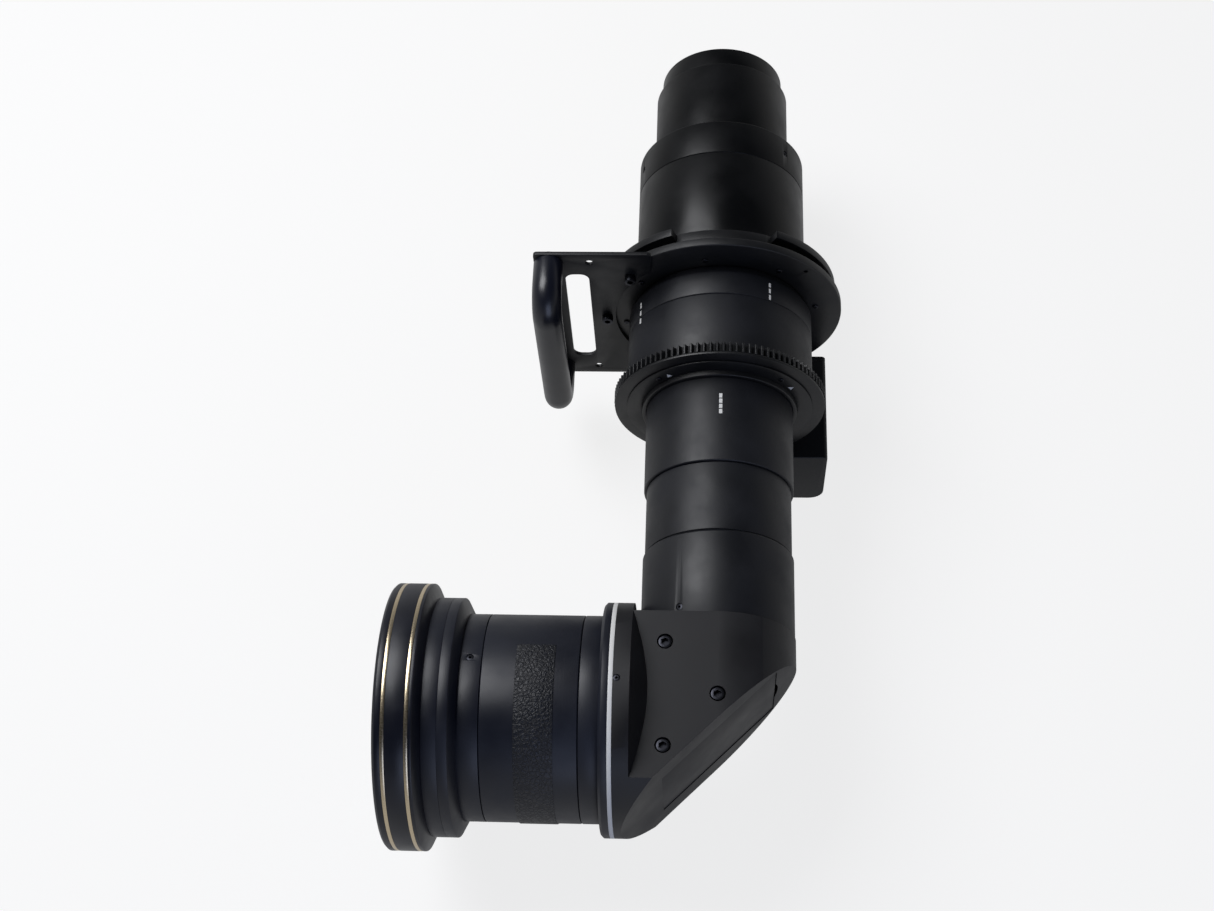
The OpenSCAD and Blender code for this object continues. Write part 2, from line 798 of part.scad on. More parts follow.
// Frame of the drive shafts, at a distance from the long axis
module drive_axis(y, at) {
  translate([0, y, 0])
    rotate([-90, 0, 0])
      rotate([0, 0, pinion_angle])
        translate([at, 0, 0])
          children();
}

module small_screw() {
  rotate([90, 0, 0])
    cylinder(r = small_head_r, h = small_head_h);
  rotate([-90, 0, 0])
    cylinder(r = small_shank_r, h = small_shank_len);
}

module set_screw(depth) {
  difference() {
    translate([0, 0, depth - set_screw_sink - set_screw_len])
      cylinder(r = set_screw_r, h = set_screw_len);
    translate([0, 0, depth - set_screw_sink - set_screw_len / 2])
      cylinder(r = set_socket_r, h = set_screw_len, $fn = 6);
  }
}

module rear_tip() {
  glass_y = y_tip - glass_recess - retainer_t - rear_glass_t + sag(rear_glass_curve, tip_bore - retainer_w);
  color("#1b1c20") seat()
    long_rev([
      [tip_bore - glass_ledge, y_tube - spigot_len],
      [tip_r, y_tube - spigot_len],
      [tip_r, y_tip - edge],
      [tip_r - edge, y_tip],
      [tip_bore, y_tip],
      [tip_bore, glass_y],
      [tip_bore - glass_ledge, glass_y]]);
}

module rear_glass() {
  glass_y = y_tip - glass_recess - retainer_t - rear_glass_t + sag(rear_glass_curve, tip_bore - retainer_w);
  color("#7f8fa8") seat()
    long_rev(glass_pts(tip_bore - run_fit, glass_y, rear_glass_t, rear_glass_curve));
}

module rear_retainer() {
  color("#16171a") seat()
    long_tube(tip_bore - retainer_w, tip_bore, y_tip - glass_recess - retainer_t, y_tip - glass_recess);
}

module rear_tube() {
  foot = y_collar - collar_wall;
  color("#1b1c20") seat()
    long_rev([
      [tube_bore, foot - foot_len],
      [collar_bore, foot - foot_len],
      [collar_bore, foot],
      [rear_tube_r, foot],
      [rear_tube_r, y_tube - edge],
      [rear_tube_r - edge, y_tube],
      [tube_bore, y_tube]]);
}

module rear_collar() {
  color("#1b1c20") seat()
    difference() {
      long_rev([
        [collar_bore, y_seam - spigot_len],
        [rear_bore, y_seam - spigot_len],
        [rear_bore, y_seam],
        [rear_r - seam_chamfer, y_seam],
        [rear_r, y_seam + seam_chamfer],
        [rear_r, y_collar - collar_chamfer],
        [rear_r - collar_chamfer, y_collar],
        [rear_tube_r, y_collar],
        [rear_tube_r, y_collar - collar_wall],
        [collar_bore, y_collar - collar_wall]]);
      for (k = [0 : 2])
        long_radial(collar_screw_phase + 120 * k, y_seam + collar_screw_at, set_screw_r,
          rear_r - set_screw_sink - set_screw_len, rear_r + over);
    }
}

module rear_barrel() {
  color("#1b1c20") seat()
    long_rev([
      [sleeve_r, y_disc],
      [seat_r, y_disc],
      [seat_r, y_seat],
      [rear_r, y_seat],
      [rear_r, y_seam - seam_chamfer],
      [rear_r - seam_chamfer, y_seam],
      [rear_bore, y_seam],
      [rear_bore, y_mount],
      [sleeve_r, y_mount]]);
}

module bayonet_ring() {
  color("#232428") seat() {
    long_tube(seat_r, bayonet_neck_r, y_mount - land_h, y_seat, 0, fine_edge);
    difference() {
      long_tube(seat_r, lug_r, y_lug, y_seat, fine_edge, fine_edge);
      for (k = [0 : 2])
        long_sector(lug_phase + 120 * k - lug_gap / 2, lug_phase + 120 * k + lug_gap / 2,
          lug_r * reach_share, y_lug - over, y_seat + over);
    }
    intersection() {
      long_tube(seat_r, key_segment_r, y_mount - land_h, y_mount + key_segment_t, 0, fine_edge);
      long_sector(lug_phase - key_segment_angle / 2, lug_phase + key_segment_angle / 2,
        lug_r * reach_share, y_mount - over, y_mount + key_segment_t + over);
    }
  }
}

module mount_disc() {
  color("#1a1b1f") seat()
    difference() {
      long_tube(seat_r, disc_r, y_disc, y_mount, fine_edge, fine_edge);
      long_tube(seat_r - over, land_r, y_mount - land_h, y_mount + over);
      for (k = [0 : disc_screw_count - 1])
        rotate([0, disc_screw_phase + k * 360 / disc_screw_count, 0])
          translate([0, 0, disc_screw_ring_r])
            long_cyl(small_shank_r, y_disc - over, y_disc + small_shank_len);
      for (k = [-1 : 1])
        rotate([0, -90 + k * plate_screw_angle, 0])
          translate([0, 0, plate_screw_ring_r])
            long_cyl(plate_shank_r, y_disc - over, y_plate + plate_shank_len);
      bolt_places() {
        long_cyl(bolt_r, y_disc - over, y_mount + over);
        long_cyl(bolt_head_r + run_fit, y_mount - bolt_sink, y_mount + over);
      }
    }
}

module disc_screws() {
  color("#4a4b50") seat()
    for (k = [0 : disc_screw_count - 1])
      rotate([0, disc_screw_phase + k * 360 / disc_screw_count, 0])
        translate([0, y_disc, disc_screw_ring_r])
          small_screw();
}

module handle_plate() {
  color("#202126") seat()
    difference() {
      long_extrude(y_plate, y_disc)
        difference() {
          round_rect(-plate_reach, -plate_inner, -plate_half, plate_half, plate_corner_r);
          circle(r = plate_cut_r);
          round_rect(-window_inner - window_w, -window_inner, -window_half, window_half,
            window_corner_r);
          for (s = [-1, 1])
            translate([-plate_hole_x, s * plate_hole_z])
              circle(r = plate_hole_r);
          for (s = [-1, 1])
            translate([-plate_reach + grip_r, s * (plate_half - grip_r)])
              circle(r = handle_screw_r);
        }
      for (k = [-1 : 1])
        rotate([0, -90 + k * plate_screw_angle, 0])
          translate([0, 0, plate_screw_ring_r])
            long_cyl(plate_shank_r, y_plate - over, y_disc + over);
    }
}

module plate_screws() {
  color("#3a3b40") seat()
    for (k = [-1 : 1])
      rotate([0, -90 + k * plate_screw_angle, 0])
        translate([0, 0, plate_screw_ring_r]) {
          difference() {
            long_cyl(plate_head_r, y_plate - plate_head_h, y_plate);
            translate([0, y_plate - plate_head_h - over, 0])
              rotate([-90, 0, 0])
                cylinder(r = plate_socket_r, h = plate_socket_h + over, $fn = 6);
          }
          long_cyl(plate_shank_r, y_plate, y_plate + plate_shank_len);
        }
}

module bow_handle() {
  leg_z = plate_half - grip_r;
  bar_y = y_plate - grip_reach + grip_r;
  bend_y = bar_y + grip_bend_r;
  bend_z = leg_z - grip_bend_r;
  color("#1d2029") seat()
    translate([-plate_reach + grip_r, 0, 0])
      difference() {
        union() {
          for (s = [-1, 1])
            translate([0, 0, s * leg_z])
              long_cyl(grip_r, bend_y, y_plate);
          translate([0, bar_y, -bend_z])
            cylinder(r = grip_r, h = 2 * bend_z);
          translate([0, bend_y, bend_z])
            rotate([0, 90, 0])
              rotate([0, 0, 180])
                rotate_extrude(angle = 90)
                  translate([grip_bend_r, 0])
                    circle(r = grip_r);
          translate([0, bend_y, -bend_z])
            rotate([0, 90, 0])
              rotate([0, 0, 270])
                rotate_extrude(angle = 90)
                  translate([grip_bend_r, 0])
                    circle(r = grip_r);
        }
        for (s = [-1, 1])
          translate([0, 0, s * leg_z])
            long_cyl(handle_screw_r, y_plate - handle_screw_depth, y_plate + over);
      }
}

module handle_screws() {
  color("#3a3b40") seat()
    for (s = [-1, 1])
      translate([-plate_reach + grip_r, 0, s * (plate_half - grip_r)]) {
        long_cyl(handle_screw_r, y_plate - handle_screw_depth, y_disc);
        long_cyl(handle_head_r, y_disc, y_disc + handle_head_h);
      }
}

module index_collar() {
  color("#26272b") seat()
    long_rev([
      [outer_bore, y_index],
      [outer_r - seam_chamfer, y_index],
      [outer_r, y_index + seam_chamfer],
      [outer_r, y_neck - fine_edge],
      [outer_r - fine_edge, y_neck],
      [neck_r, y_neck],
      [neck_r, y_disc],
      [sleeve_r, y_disc],
      [sleeve_r, y_neck - web_t],
      [outer_bore, y_neck - web_t]]);
}

module outer_barrel() {
  color("#26272b") seat()
    long_rev([
      [outer_bore, y_outer],
      [outer_r, y_outer],
      [outer_r, y_index - seam_chamfer],
      [outer_r - seam_chamfer, y_index],
      [outer_bore, y_index],
      [outer_bore, y_web + web_t],
      [sleeve_r, y_web + web_t],
      [sleeve_r, y_web],
      [outer_bore, y_web]]);
}

module guide_sleeve() {
  key_room = atan((key_half_w + pass_gap) / slim_r);
  color("#2a2b30") seat()
    difference() {
      long_rev([
        [slim_r, y_lip],
        [sleeve_r - seam_chamfer, y_lip],
        [sleeve_r, y_lip + seam_chamfer],
        [sleeve_r, y_mount],
        [sleeve_flange_bore, y_mount],
        [sleeve_flange_bore, y_disc],
        [slim_r, y_disc]]);
      long_sector(180 - zoom_low - key_room, 180 + zoom_span - zoom_low + key_room,
        sleeve_r * reach_share, y_key - key_half_t - pass_gap, y_key + key_half_t + pass_gap);
      for (k = [0 : 2])
        rotate([0, rod_phase + 120 * k, 0])
          translate([0, 0, rod_at])
            long_cyl(rod_r, y_disc - over, y_disc + rod_bite);
    }
}

module zoom_ring() {
  color("#222327") seat()
    difference() {
      union() {
        long_extrude(y_teeth, y_ring)
          rotate([0, 0, pinion_angle])
            polygon(gear_pts(ring_teeth, ring_module, backlash));
        long_tube(sleeve_r, rim_r, y_rim, y_teeth, fine_edge, 0);
        long_tube(sleeve_r, hub_r, y_ring, y_hub);
      }
      long_cyl(sleeve_r + run_fit, y_rim - over, y_hub + over);
      translate([-key_half_w, y_key - key_half_t, -sleeve_r - key_out])
        cube([2 * key_half_w, 2 * key_half_t, sleeve_r]);
      for (k = [0 : 3])
        rotate([0, 45 + 90 * k, 0])
          translate([0, 0, index_screw_ring_r])
            long_cyl(small_shank_r, y_rim - over, y_rim - index_disc_t + small_shank_len);
    }
}

module index_disc() {
  color("#1c1d21") seat()
    difference() {
      long_tube(sleeve_r + run_fit, index_disc_r, y_rim - index_disc_t, y_rim, fine_edge, 0);
      for (k = [0 : 3])
        rotate([0, 45 + 90 * k, 0])
          translate([0, 0, index_screw_ring_r])
            long_cyl(small_shank_r, y_rim - index_disc_t - over, y_rim + over);
    }
}

module index_screws() {
  color("#4a4b50") seat()
    for (k = [0 : 3])
      rotate([0, 45 + 90 * k, 0])
        translate([0, y_rim - index_disc_t, index_screw_ring_r])
          small_screw();
}

module drive_key() {
  color("#8b8d92") seat()
    translate([-key_half_w, y_key - key_half_t, -sleeve_r - key_out])
      cube([2 * key_half_w, 2 * key_half_t, sleeve_r + key_out - cam_r + key_bite]);
}

module cam_tube() {
  color("#b59a55") seat()
    difference() {
      long_tube(cam_bore, cam_r, y_cam, y_cam + cam_len);
      rotate([-90, 0, 0])
        for (k = [0 : 2]) {
          cam_cut(cam_r, cam_r * cut_share, zoom_pin_phase - 90 + 120 * k, y_zoom, zoom_rate,
            -zoom_low, zoom_span - zoom_low);
          cam_cut(cam_r, cam_r * cut_share, comp_pin_phase - 90 + 120 * k, y_comp, comp_rate,
            -zoom_low, zoom_span - zoom_low);
        }
      translate([-key_half_w, y_key - key_half_t, -sleeve_r])
        cube([2 * key_half_w, 2 * key_half_t, sleeve_r - cam_r + key_bite]);
    }
}

// Ring that holds one glass group, with guide rod holes and pin holes
module group_cell(y, half, pin_phase) {
  difference() {
    long_tube(cell_bore_r, cell_r, y - half, y + half, fine_edge, fine_edge);
    for (k = [0 : 2])
      rotate([0, rod_phase + 120 * k, 0])
        translate([0, 0, rod_at])
          long_cyl(rod_r + run_fit, y - half - over, y + half + over);
    for (k = [0 : 2])
      long_radial(pin_phase + 120 * k, y, cam_pin_r, cell_r - pin_bite, cell_r + over);
  }
}

module group_pins(y, pin_phase) {
  for (k = [0 : 2])
    long_radial(pin_phase + 120 * k, y, cam_pin_r, cell_r - pin_bite, cam_r - pass_gap);
}

module zoom_cell() {
  color("#33343a") seat()
    group_cell(y_zoom, zoom_cell_half, zoom_pin_phase);
}

module zoom_glass() {
  color("#8c9cb5") seat()
    long_rev(glass_pts(cell_bore_r - run_fit, y_zoom - group_glass_t / 2, group_glass_t, group_glass_curve));
}

module zoom_pins() {
  color("#9a9ca2") seat()
    group_pins(y_zoom, zoom_pin_phase);
}

module compensator_cell() {
  color("#33343a") seat()
    group_cell(y_comp, compensator_half, comp_pin_phase);
}

module compensator_glass() {
  color("#8c9cb5") seat()
    long_rev(glass_pts(cell_bore_r - run_fit, y_comp - group_glass_t / 2, group_glass_t, group_glass_curve));
}

module compensator_pins() {
  color("#9a9ca2") seat()
    group_pins(y_comp, comp_pin_phase);
}

module guide_rods() {
  color("#9a9ca2") seat()
    for (k = [0 : 2])
      rotate([0, rod_phase + 120 * k, 0])
        translate([0, 0, rod_at])
          long_cyl(rod_r, y_insert - rod_bite, y_disc + rod_bite);
}

module slim_barrel() {
  color("#26272b") seat()
    difference() {
      long_rev([
        [slim_bore, y_middle],
        [slim_r - seam_chamfer, y_middle],
        [slim_r, y_middle + seam_chamfer],
        [slim_r, y_insert],
        [sleeve_flange_bore, y_insert],
        [sleeve_flange_bore, y_insert - web_t],
        [slim_bore, y_insert - web_t]]);
      for (k = [0 : 2])
        rotate([0, rod_phase + 120 * k, 0])
          translate([0, 0, rod_at])
            long_cyl(rod_r, y_insert - rod_bite, y_insert + over);
    }
}

module middle_barrel() {
  color("#26272b") seat()
    long_rev([
      [middle_bore, y_lower],
      [middle_r - seam_chamfer, y_lower],
      [middle_r, y_lower + seam_chamfer],
      [middle_r, y_middle - seam_chamfer],
      [middle_r - seam_chamfer, y_middle],
      [slim_bore, y_middle],
      [slim_bore, y_middle + spigot_len],
      [middle_bore, y_middle + spigot_len]]);
}

module lower_barrel() {
  step = lower_r - middle_r + seam_chamfer;
  color("#26272b") seat()
    difference() {
      long_rev([
        [lower_bore, y_elbow],
        [lower_r - fine_edge, y_elbow],
        [lower_r, y_elbow + fine_edge],
        [lower_r, y_lower - step],
        [middle_r - seam_chamfer, y_lower],
        [middle_bore, y_lower],
        [middle_bore, y_lower + spigot_len],
        [lower_spigot_bore, y_lower + spigot_len],
        [lower_spigot_bore, y_lower - web_t],
        [lower_bore, y_lower - web_t]]);
      for (k = [0 : 2])
        long_radial(lower_screw_phase + 120 * k, y_elbow + lower_screw_at, set_screw_r,
          lower_r - set_screw_sink - set_screw_len, lower_r + over);
    }
}

module set_screws() {
  color("#54555b") seat() {
    for (k = [0 : 2])
      rotate([0, lower_screw_phase + 120 * k, 0])
        translate([0, y_elbow + lower_screw_at, 0])
          set_screw(lower_r);
    for (k = [0 : 2])
      rotate([0, collar_screw_phase + 120 * k, 0])
        translate([0, y_seam + collar_screw_at, 0])
          set_screw(rear_r);
    for (k = [0 : 3])
      rotate([-90 * k, 0, 0])
        translate([-x_flange + flange_screw_at, 0, 0])
          set_screw(flange_r);
    for (k = [0 : 2])
      rotate([-head_screw_phase - 120 * k, 0, 0])
        translate([-x_head - head_screw_at, 0, 0])
          set_screw(front_r);
  }
}

module elbow_body() {
  intersection() {
    front_cyl(flange_r, 0, flange_back);
    union() {
      translate([-flange_r, -flange_r, -elbow_half])
        cube([2 * flange_r, 2 * flange_r, 2 * elbow_half]);
      front_rev([
        [0, flange_back - shoulder_run],
        [elbow_half, flange_back - shoulder_run],
        [flange_r, flange_back],
        [0, flange_back]]);
    }
    translate([-flange_back, -flange_r, -flange_r])
      cube([flange_back, flange_r + elbow_rise, 2 * flange_r]);
  }
  front_tube(flange_bore_r, flange_r, flange_back, x_flange, 0, fine_edge);
  long_cyl(elbow_half, -elbow_half, elbow_rise);
  long_tube(elbow_bore_r, lower_bore - run_fit, elbow_rise, elbow_rise + spigot_len);
}

// The two crossing bores, cut off at a distance in front of the mirror
module light_bores(r, depth) {
  intersection() {
    union() {
      long_cyl(r, -r * reach_share, elbow_rise + spigot_len + over);
      front_cyl(r, -r * reach_share, flange_back + over);
    }
    mitre()
      translate([-depth - 4 * flange_r, -2 * flange_r, -2 * flange_r])
        cube([4 * flange_r, 4 * flange_r, 4 * flange_r]);
  }
}

// Places of the three screws on each elbow flat
module elbow_screw_places() {
  for (side = [-1, 1])
    for (p = [[0, 0], [-elbow_screw_x, elbow_screw_y], [-elbow_screw_x, -elbow_screw_y]])
      translate([p[0], p[1], side * elbow_half])
        rotate([side > 0 ? 0 : 180, 0, 0])
          children();
}

module elbow_housing() {
  color("#2b2c30") seat()
    difference() {
      elbow_body();
      mitre()
        translate([mitre_offset, -2 * flange_r, -2 * flange_r])
          cube([2 * flange_r, 4 * flange_r, 4 * flange_r]);
      light_bores(elbow_bore_r, mirror_seat_t);
      light_bores(mirror_light_r, 0);
      mitre() {
        translate([0, -cover_shift - cover_len / 2 + mirror_rim, -cover_w / 2 + mirror_rim])
          cube([mitre_offset, cover_len - 2 * mirror_rim, cover_w - 2 * mirror_rim]);
        translate([mirror_t, -cover_shift - cover_len / 2, -cover_w / 2])
          cube([mitre_offset, cover_len, cover_w]);
      }
      elbow_screw_places() {
        translate([0, 0, -elbow_counterbore_h])
          cylinder(r = elbow_counterbore_r, h = elbow_counterbore_h + over);
        translate([0, 0, -elbow_counterbore_h - elbow_shank_len])
          cylinder(r = elbow_shank_r, h = elbow_shank_len + over);
      }
      for (k = [0 : 3])
        front_radial(90 * k, x_flange - flange_screw_at, set_screw_r,
          flange_r - set_screw_sink - set_screw_len, flange_r + over);
    }
}

module elbow_screws() {
  color("#3c3d42") seat()
    elbow_screw_places() {
      difference() {
        translate([0, 0, -elbow_counterbore_h])
          cylinder(r = elbow_head_r, h = elbow_head_h);
        translate([0, 0, -elbow_counterbore_h + elbow_head_h - elbow_socket_h])
          cylinder(r = elbow_socket_r, h = elbow_socket_h + over, $fn = 6);
      }
      translate([0, 0, -elbow_counterbore_h - elbow_shank_len])
        cylinder(r = elbow_shank_r, h = elbow_shank_len);
    }
}

module mirror() {
  color("#c9d2dc") seat()
    mitre()
      translate([0, -cover_shift - cover_len / 2 + mirror_rim, -cover_w / 2 + mirror_rim])
        cube([mirror_t, cover_len - 2 * mirror_rim, cover_w - 2 * mirror_rim]);
}

module mirror_cover() {
  color("#26272b") seat()
    mitre()
      translate([mirror_t, -cover_shift - cover_len / 2, -cover_w / 2])
        cube([cover_t, cover_len, cover_w]);
}

module inlay_ring() {
  color("#e4e4e2") seat()
    front_tube(flange_r - inlay_depth, flange_r, x_flange, x_inlay);
}

module front_flange() {
  color("#26272b") seat()
    front_rev([
      [core_bore, x_flange],
      [flange_r - inlay_depth, x_flange],
      [flange_r - inlay_depth, x_inlay],
      [flange_r, x_inlay],
      [flange_r, x_base - front_flange_chamfer],
      [flange_r - front_flange_chamfer, x_base],
      [core_bore, x_base]]);
}

module front_core() {
  color("#2f3035") seat()
    difference() {
      front_tube(core_bore, core_r, x_base, x_hood_ring);
      for (k = [0 : 2])
        rotate([-focus_pin_phase - 120 * k, 0, 0]) {
          for (s = [-1, 1])
            translate([-x_pins + s * focus_travel, 0, core_bore - over])
              cylinder(r = cam_pin_r + run_fit, h = core_wall + 2 * over);
          translate([-x_pins - focus_travel, -cam_pin_r - run_fit, core_bore - over])
            cube([2 * focus_travel, 2 * (cam_pin_r + run_fit), core_wall + 2 * over]);
        }
    }
}

module front_base() {
  color("#2a2b2f") seat()
    front_tube(core_r, front_r, x_base, x_focus, seam_chamfer, edge);
}

module focus_ring() {
  color("#2a2b2f") seat()
    difference() {
      front_tube(core_r + run_fit, front_r, x_focus + focus_gap, x_head - focus_gap, edge, edge);
      intersection() {
        front_cyl(groove_r, x_focus, x_head);
        rotate([0, -90, 0])
          for (k = [0 : 2])
            cam_cut(core_r, core_r * cut_share, focus_pin_phase + 120 * k, x_pins, focus_rate,
              -focus_span / 2, focus_span / 2);
      }
    }
}

module grip_band() {
  color("#2d2e32") seat()
    difference() {
      front_tube(front_r + run_fit, front_r + band_t, x_focus + band_start, x_focus + band_start + band_w);
      front_sector(band_edge, band_edge + band_gap, front_r * reach_share,
        x_focus + band_start - over, x_focus + band_start + band_w + over);
    }
}

module front_head() {
  color("#2a2b2f") seat()
    difference() {
      front_tube(core_r, front_r, x_head, x_hood, edge, 0);
      for (k = [0 : 2])
        front_radial(head_screw_phase + 120 * k, x_head + head_screw_at, set_screw_r,
          front_r - set_screw_sink - set_screw_len, front_r + over);
    }
}

module hood_collar() {
  color("#26272b") seat()
    front_rev([
      [core_r, x_hood],
      [hood_slope_r, x_hood],
      [hood_r, x_hood + hood_slope_run],
      [hood_r, x_hood_ring - fine_edge],
      [hood_r - fine_edge, x_hood_ring],
      [core_r, x_hood_ring]]);
}

module hood_ring() {
  color("#26272b") seat()
    front_tube(core_bore, hood_r, x_hood_ring, x_slope, fine_edge, 0);
}

module front_ring() {
  lip_x = x_glass + front_glass_t - sag(front_glass_curve, front_glass_r - retainer_w) + retainer_t;
  color("#222327") seat()
    difference() {
      front_rev([
        [front_bore_r, x_slope],
        [hood_r, x_slope],
        [front_ring_r, x_front],
        [front_ring_r, x_end - front_ring_chamfer],
        [front_ring_r - front_ring_chamfer, x_end],
        [front_ring_r - front_lip_w, x_end],
        [front_glass_r, lip_x],
        [front_glass_r, x_glass],
        [front_bore_r, x_glass]]);
      for (at = [gold_first, gold_first + gold_pitch])
        front_tube(front_ring_r - gold_depth, front_ring_r + over, x_end - at - gold_w / 2,
          x_end - at + gold_w / 2);
    }
}

module gold_rings() {
  color("#c9b48a") seat()
    for (at = [gold_first, gold_first + gold_pitch])
      front_tube(front_ring_r - gold_depth, front_ring_r, x_end - at - gold_w / 2,
        x_end - at + gold_w / 2);
}

module front_glass() {
  color("#7f8fa8") seat()
    front_rev(glass_pts(front_glass_r - run_fit, x_glass, front_glass_t, front_glass_curve));
}

module front_retainer() {
  ring_x = x_glass + front_glass_t - sag(front_glass_curve, front_glass_r - retainer_w);
  color("#16171a") seat()
    front_tube(front_glass_r - retainer_w, front_glass_r, ring_x, ring_x + retainer_t);
}

module focus_cell() {
  color("#33343a") seat()
    difference() {
      front_tube(focus_cell_bore, focus_cell_r, x_pins - focus_cell_len / 2, x_pins + focus_cell_len / 2,
        fine_edge, fine_edge);
      for (k = [0 : 2])
        front_radial(focus_pin_phase + 120 * k, x_pins, cam_pin_r, focus_cell_r - pin_bite,
          focus_cell_r + over);
    }
}

module focus_glass() {
  color("#8c9cb5") seat()
    front_rev(glass_pts(focus_cell_bore - run_fit, x_pins - focus_glass_t / 2, focus_glass_t, focus_glass_curve));
}

module focus_pins() {
  color("#9a9ca2") seat()
    for (k = [0 : 2])
      front_radial(focus_pin_phase + 120 * k, x_pins, cam_pin_r, focus_cell_r - pin_bite,
        groove_r - pass_gap);
}

// Flat outline of the motor housing, drawn in X and -Z, moved inwards by an inset
module box_outline(inset) {
  x0 = box_inner_x + inset;
  x1 = box_x - inset;
  y0 = box_near_z + inset;
  y1 = box_far_z - inset;
  big = box_corner_r - inset;
  small = box_edge_r - inset;
  difference() {
    union() {
      translate([x0 + small, y0])
        square([x1 - x0 - big - small, y1 - y0]);
      translate([x0, y0])
        square([x1 - x0 - big, y1 - y0 - small]);
      translate([x0, y0])
        square([x1 - x0 - small, y1 - y0 - big]);
      translate([x0, y0 + small])
        square([x1 - x0, y1 - y0 - small - big]);
      translate([x0 + small, y1 - small])
        circle(r = small);
      translate([x1 - small, y0 + small])
        circle(r = small);
      translate([x1 - big, y1 - big])
        circle(r = big);
    }
    circle(r = box_hollow_r + inset);
  }
}

// Places of the cover screws on the motor housing
module cover_places() {
  deep = box_wall + boss_r - fine_edge;
  diagonal = box_corner_r - (box_corner_r - deep) * sqrt(0.5);
  for (p = [
    [box_x - deep, box_near_z + deep],
    [box_inner_x + deep, box_far_z - deep],
    [box_x - diagonal, box_far_z - diagonal]])
    translate([p[0], 0, -p[1]])
      children();
}

// Places of the bolts that hold the motor housing to the mount disc
module bolt_places() {
  for (a = bolt_angles)
    rotate([0, 90 + a, 0])
      translate([0, 0, bolt_ring_r])
        children();
}

module motor_screw_places() {
  drive_axis(y_bracket, motor_at)
    for (s = [-1, 1])
      translate([0, s * motor_screw_at, 0])
        rotate([90, 0, 0])
          children();
}

module motor_housing() {
  color("#25262b") seat()
    difference() {
      union() {
        difference() {
          long_extrude(y_box, y_cover)
            box_outline(0);
          long_extrude(y_box + box_wall, y_cover + over)
            box_outline(box_wall);
        }
        long_extrude(y_bracket, y_motor)
          box_outline(box_wall / 2);
        cover_places()
          long_cyl(boss_r, y_motor, y_cover);
        bolt_places()
          long_cyl(boss_r, y_motor, y_cover);
      }
      drive_axis(y_pinion - window_gap, drive_at) {
        cylinder(r = window_r, h = y_bracket - y_pinion);
        translate([-window_r, -window_r, 0])
          cube([window_r, 2 * window_r, y_bracket - y_pinion]);
      }
      drive_axis(y_box + shaft_end, drive_at)
        cylinder(r = shaft_r, h = y_motor - y_box);
      drive_axis(y_bracket - over, motor_at)
        cylinder(r = pilot_r, h = bracket_t + 2 * over);
      motor_screw_places()
        long_cyl(small_shank_r, -over, bracket_t + over);
      cover_places()
        long_cyl(small_shank_r, y_disc - small_shank_len, y_cover + over);
      bolt_places()
        long_cyl(bolt_r, y_cover - bolt_len, y_cover + over);
    }
}

module motor_cover() {
  color("#25262b") seat() {
    difference() {
      long_extrude(y_cover, y_disc)
        box_outline(0);
      cover_places()
        long_cyl(small_shank_r, y_cover - over, y_disc + over);
      bolt_places()
        long_cyl(bolt_r, y_cover - over, y_disc + over);
    }
    drive_axis(y_disc, drive_at + contact_reach) {
      difference() {
        translate([-contact_w / 2, -contact_len / 2, 0])
          cube([contact_w, contact_len, contact_h]);
        translate([-contact_w / 2 + contact_wall, -contact_len / 2 + contact_wall,
          contact_h - contact_depth])
          cube([contact_w - 2 * contact_wall, contact_len - 2 * contact_wall, contact_depth + over]);
      }
      for (i = [0 : contact_pins - 1])
        translate([0, (i - (contact_pins - 1) / 2) * (contact_len - 2 * contact_wall) / contact_pins, 0])
          cylinder(r = contact_pin_r, h = contact_h - contact_wall / 2);
    }
  }
}

module motor() {
  color("#6d6f75") seat()
    difference() {
      union() {
        drive_axis(y_motor, motor_at)
          cylinder(r = motor_r, h = motor_len);
        drive_axis(y_bracket, motor_at)
          cylinder(r = pilot_r - run_fit, h = bracket_t);
      }
      drive_axis(y_bracket - over, motor_at)
        cylinder(r = motor_shaft_r + run_fit, h = bracket_t + motor_shaft_len + 2 * over);
      motor_screw_places()
        long_cyl(small_shank_r, 0, small_shank_len);
    }
}

module motor_pinion() {
  color("#b59a55") seat()
    drive_axis(0, motor_at)
      rotate([0, 0, 180 + 180 / motor_teeth]) {
        translate([0, 0, y_wheel])
          linear_extrude(height = wheel_t)
            polygon(gear_pts(motor_teeth, reduction_module, backlash));
        translate([0, 0, y_wheel])
          cylinder(r = motor_shaft_r, h = y_motor + motor_shaft_len - y_wheel);
      }
}

module drive_gear() {
  color("#c9c3a8") seat()
    difference() {
      union() {
        drive_axis(y_pinion, drive_at)
          rotate([0, 0, 180 + 180 / pinion_teeth])
            linear_extrude(height = y_ring + pinion_end - y_pinion)
              polygon(gear_pts(pinion_teeth, ring_module, backlash));
        drive_axis(y_wheel, drive_at)
          linear_extrude(height = wheel_t)
            polygon(gear_pts(wheel_teeth, reduction_module, backlash));
        drive_axis(y_box + box_wall + pass_gap, drive_at)
          cylinder(r = drive_hub_r, h = y_bracket - y_box - box_wall - 2 * pass_gap);
      }
      drive_axis(y_box, drive_at)
        cylinder(r = shaft_r + run_fit, h = y_motor - y_box);
    }
}

module drive_shaft() {
  color("#9a9ca2") seat()
    drive_axis(y_box + shaft_end, drive_at)
      cylinder(r = shaft_r, h = y_motor - y_box - shaft_end + shaft_tail);
}

module housing_screws() {
  color("#4a4b50") seat() {
    cover_places()
      translate([0, y_disc, 0])
        rotate([180, 0, 0])
          small_screw();
    motor_screw_places()
      small_screw();
  }
}

module housing_bolts() {
  color("#4a4b50") seat()
    bolt_places() {
      long_cyl(bolt_r, y_cover - bolt_len, y_mount - bolt_sink);
      long_cyl(bolt_head_r, y_mount - bolt_sink, y_mount - bolt_sink + bolt_head_h);
    }
}

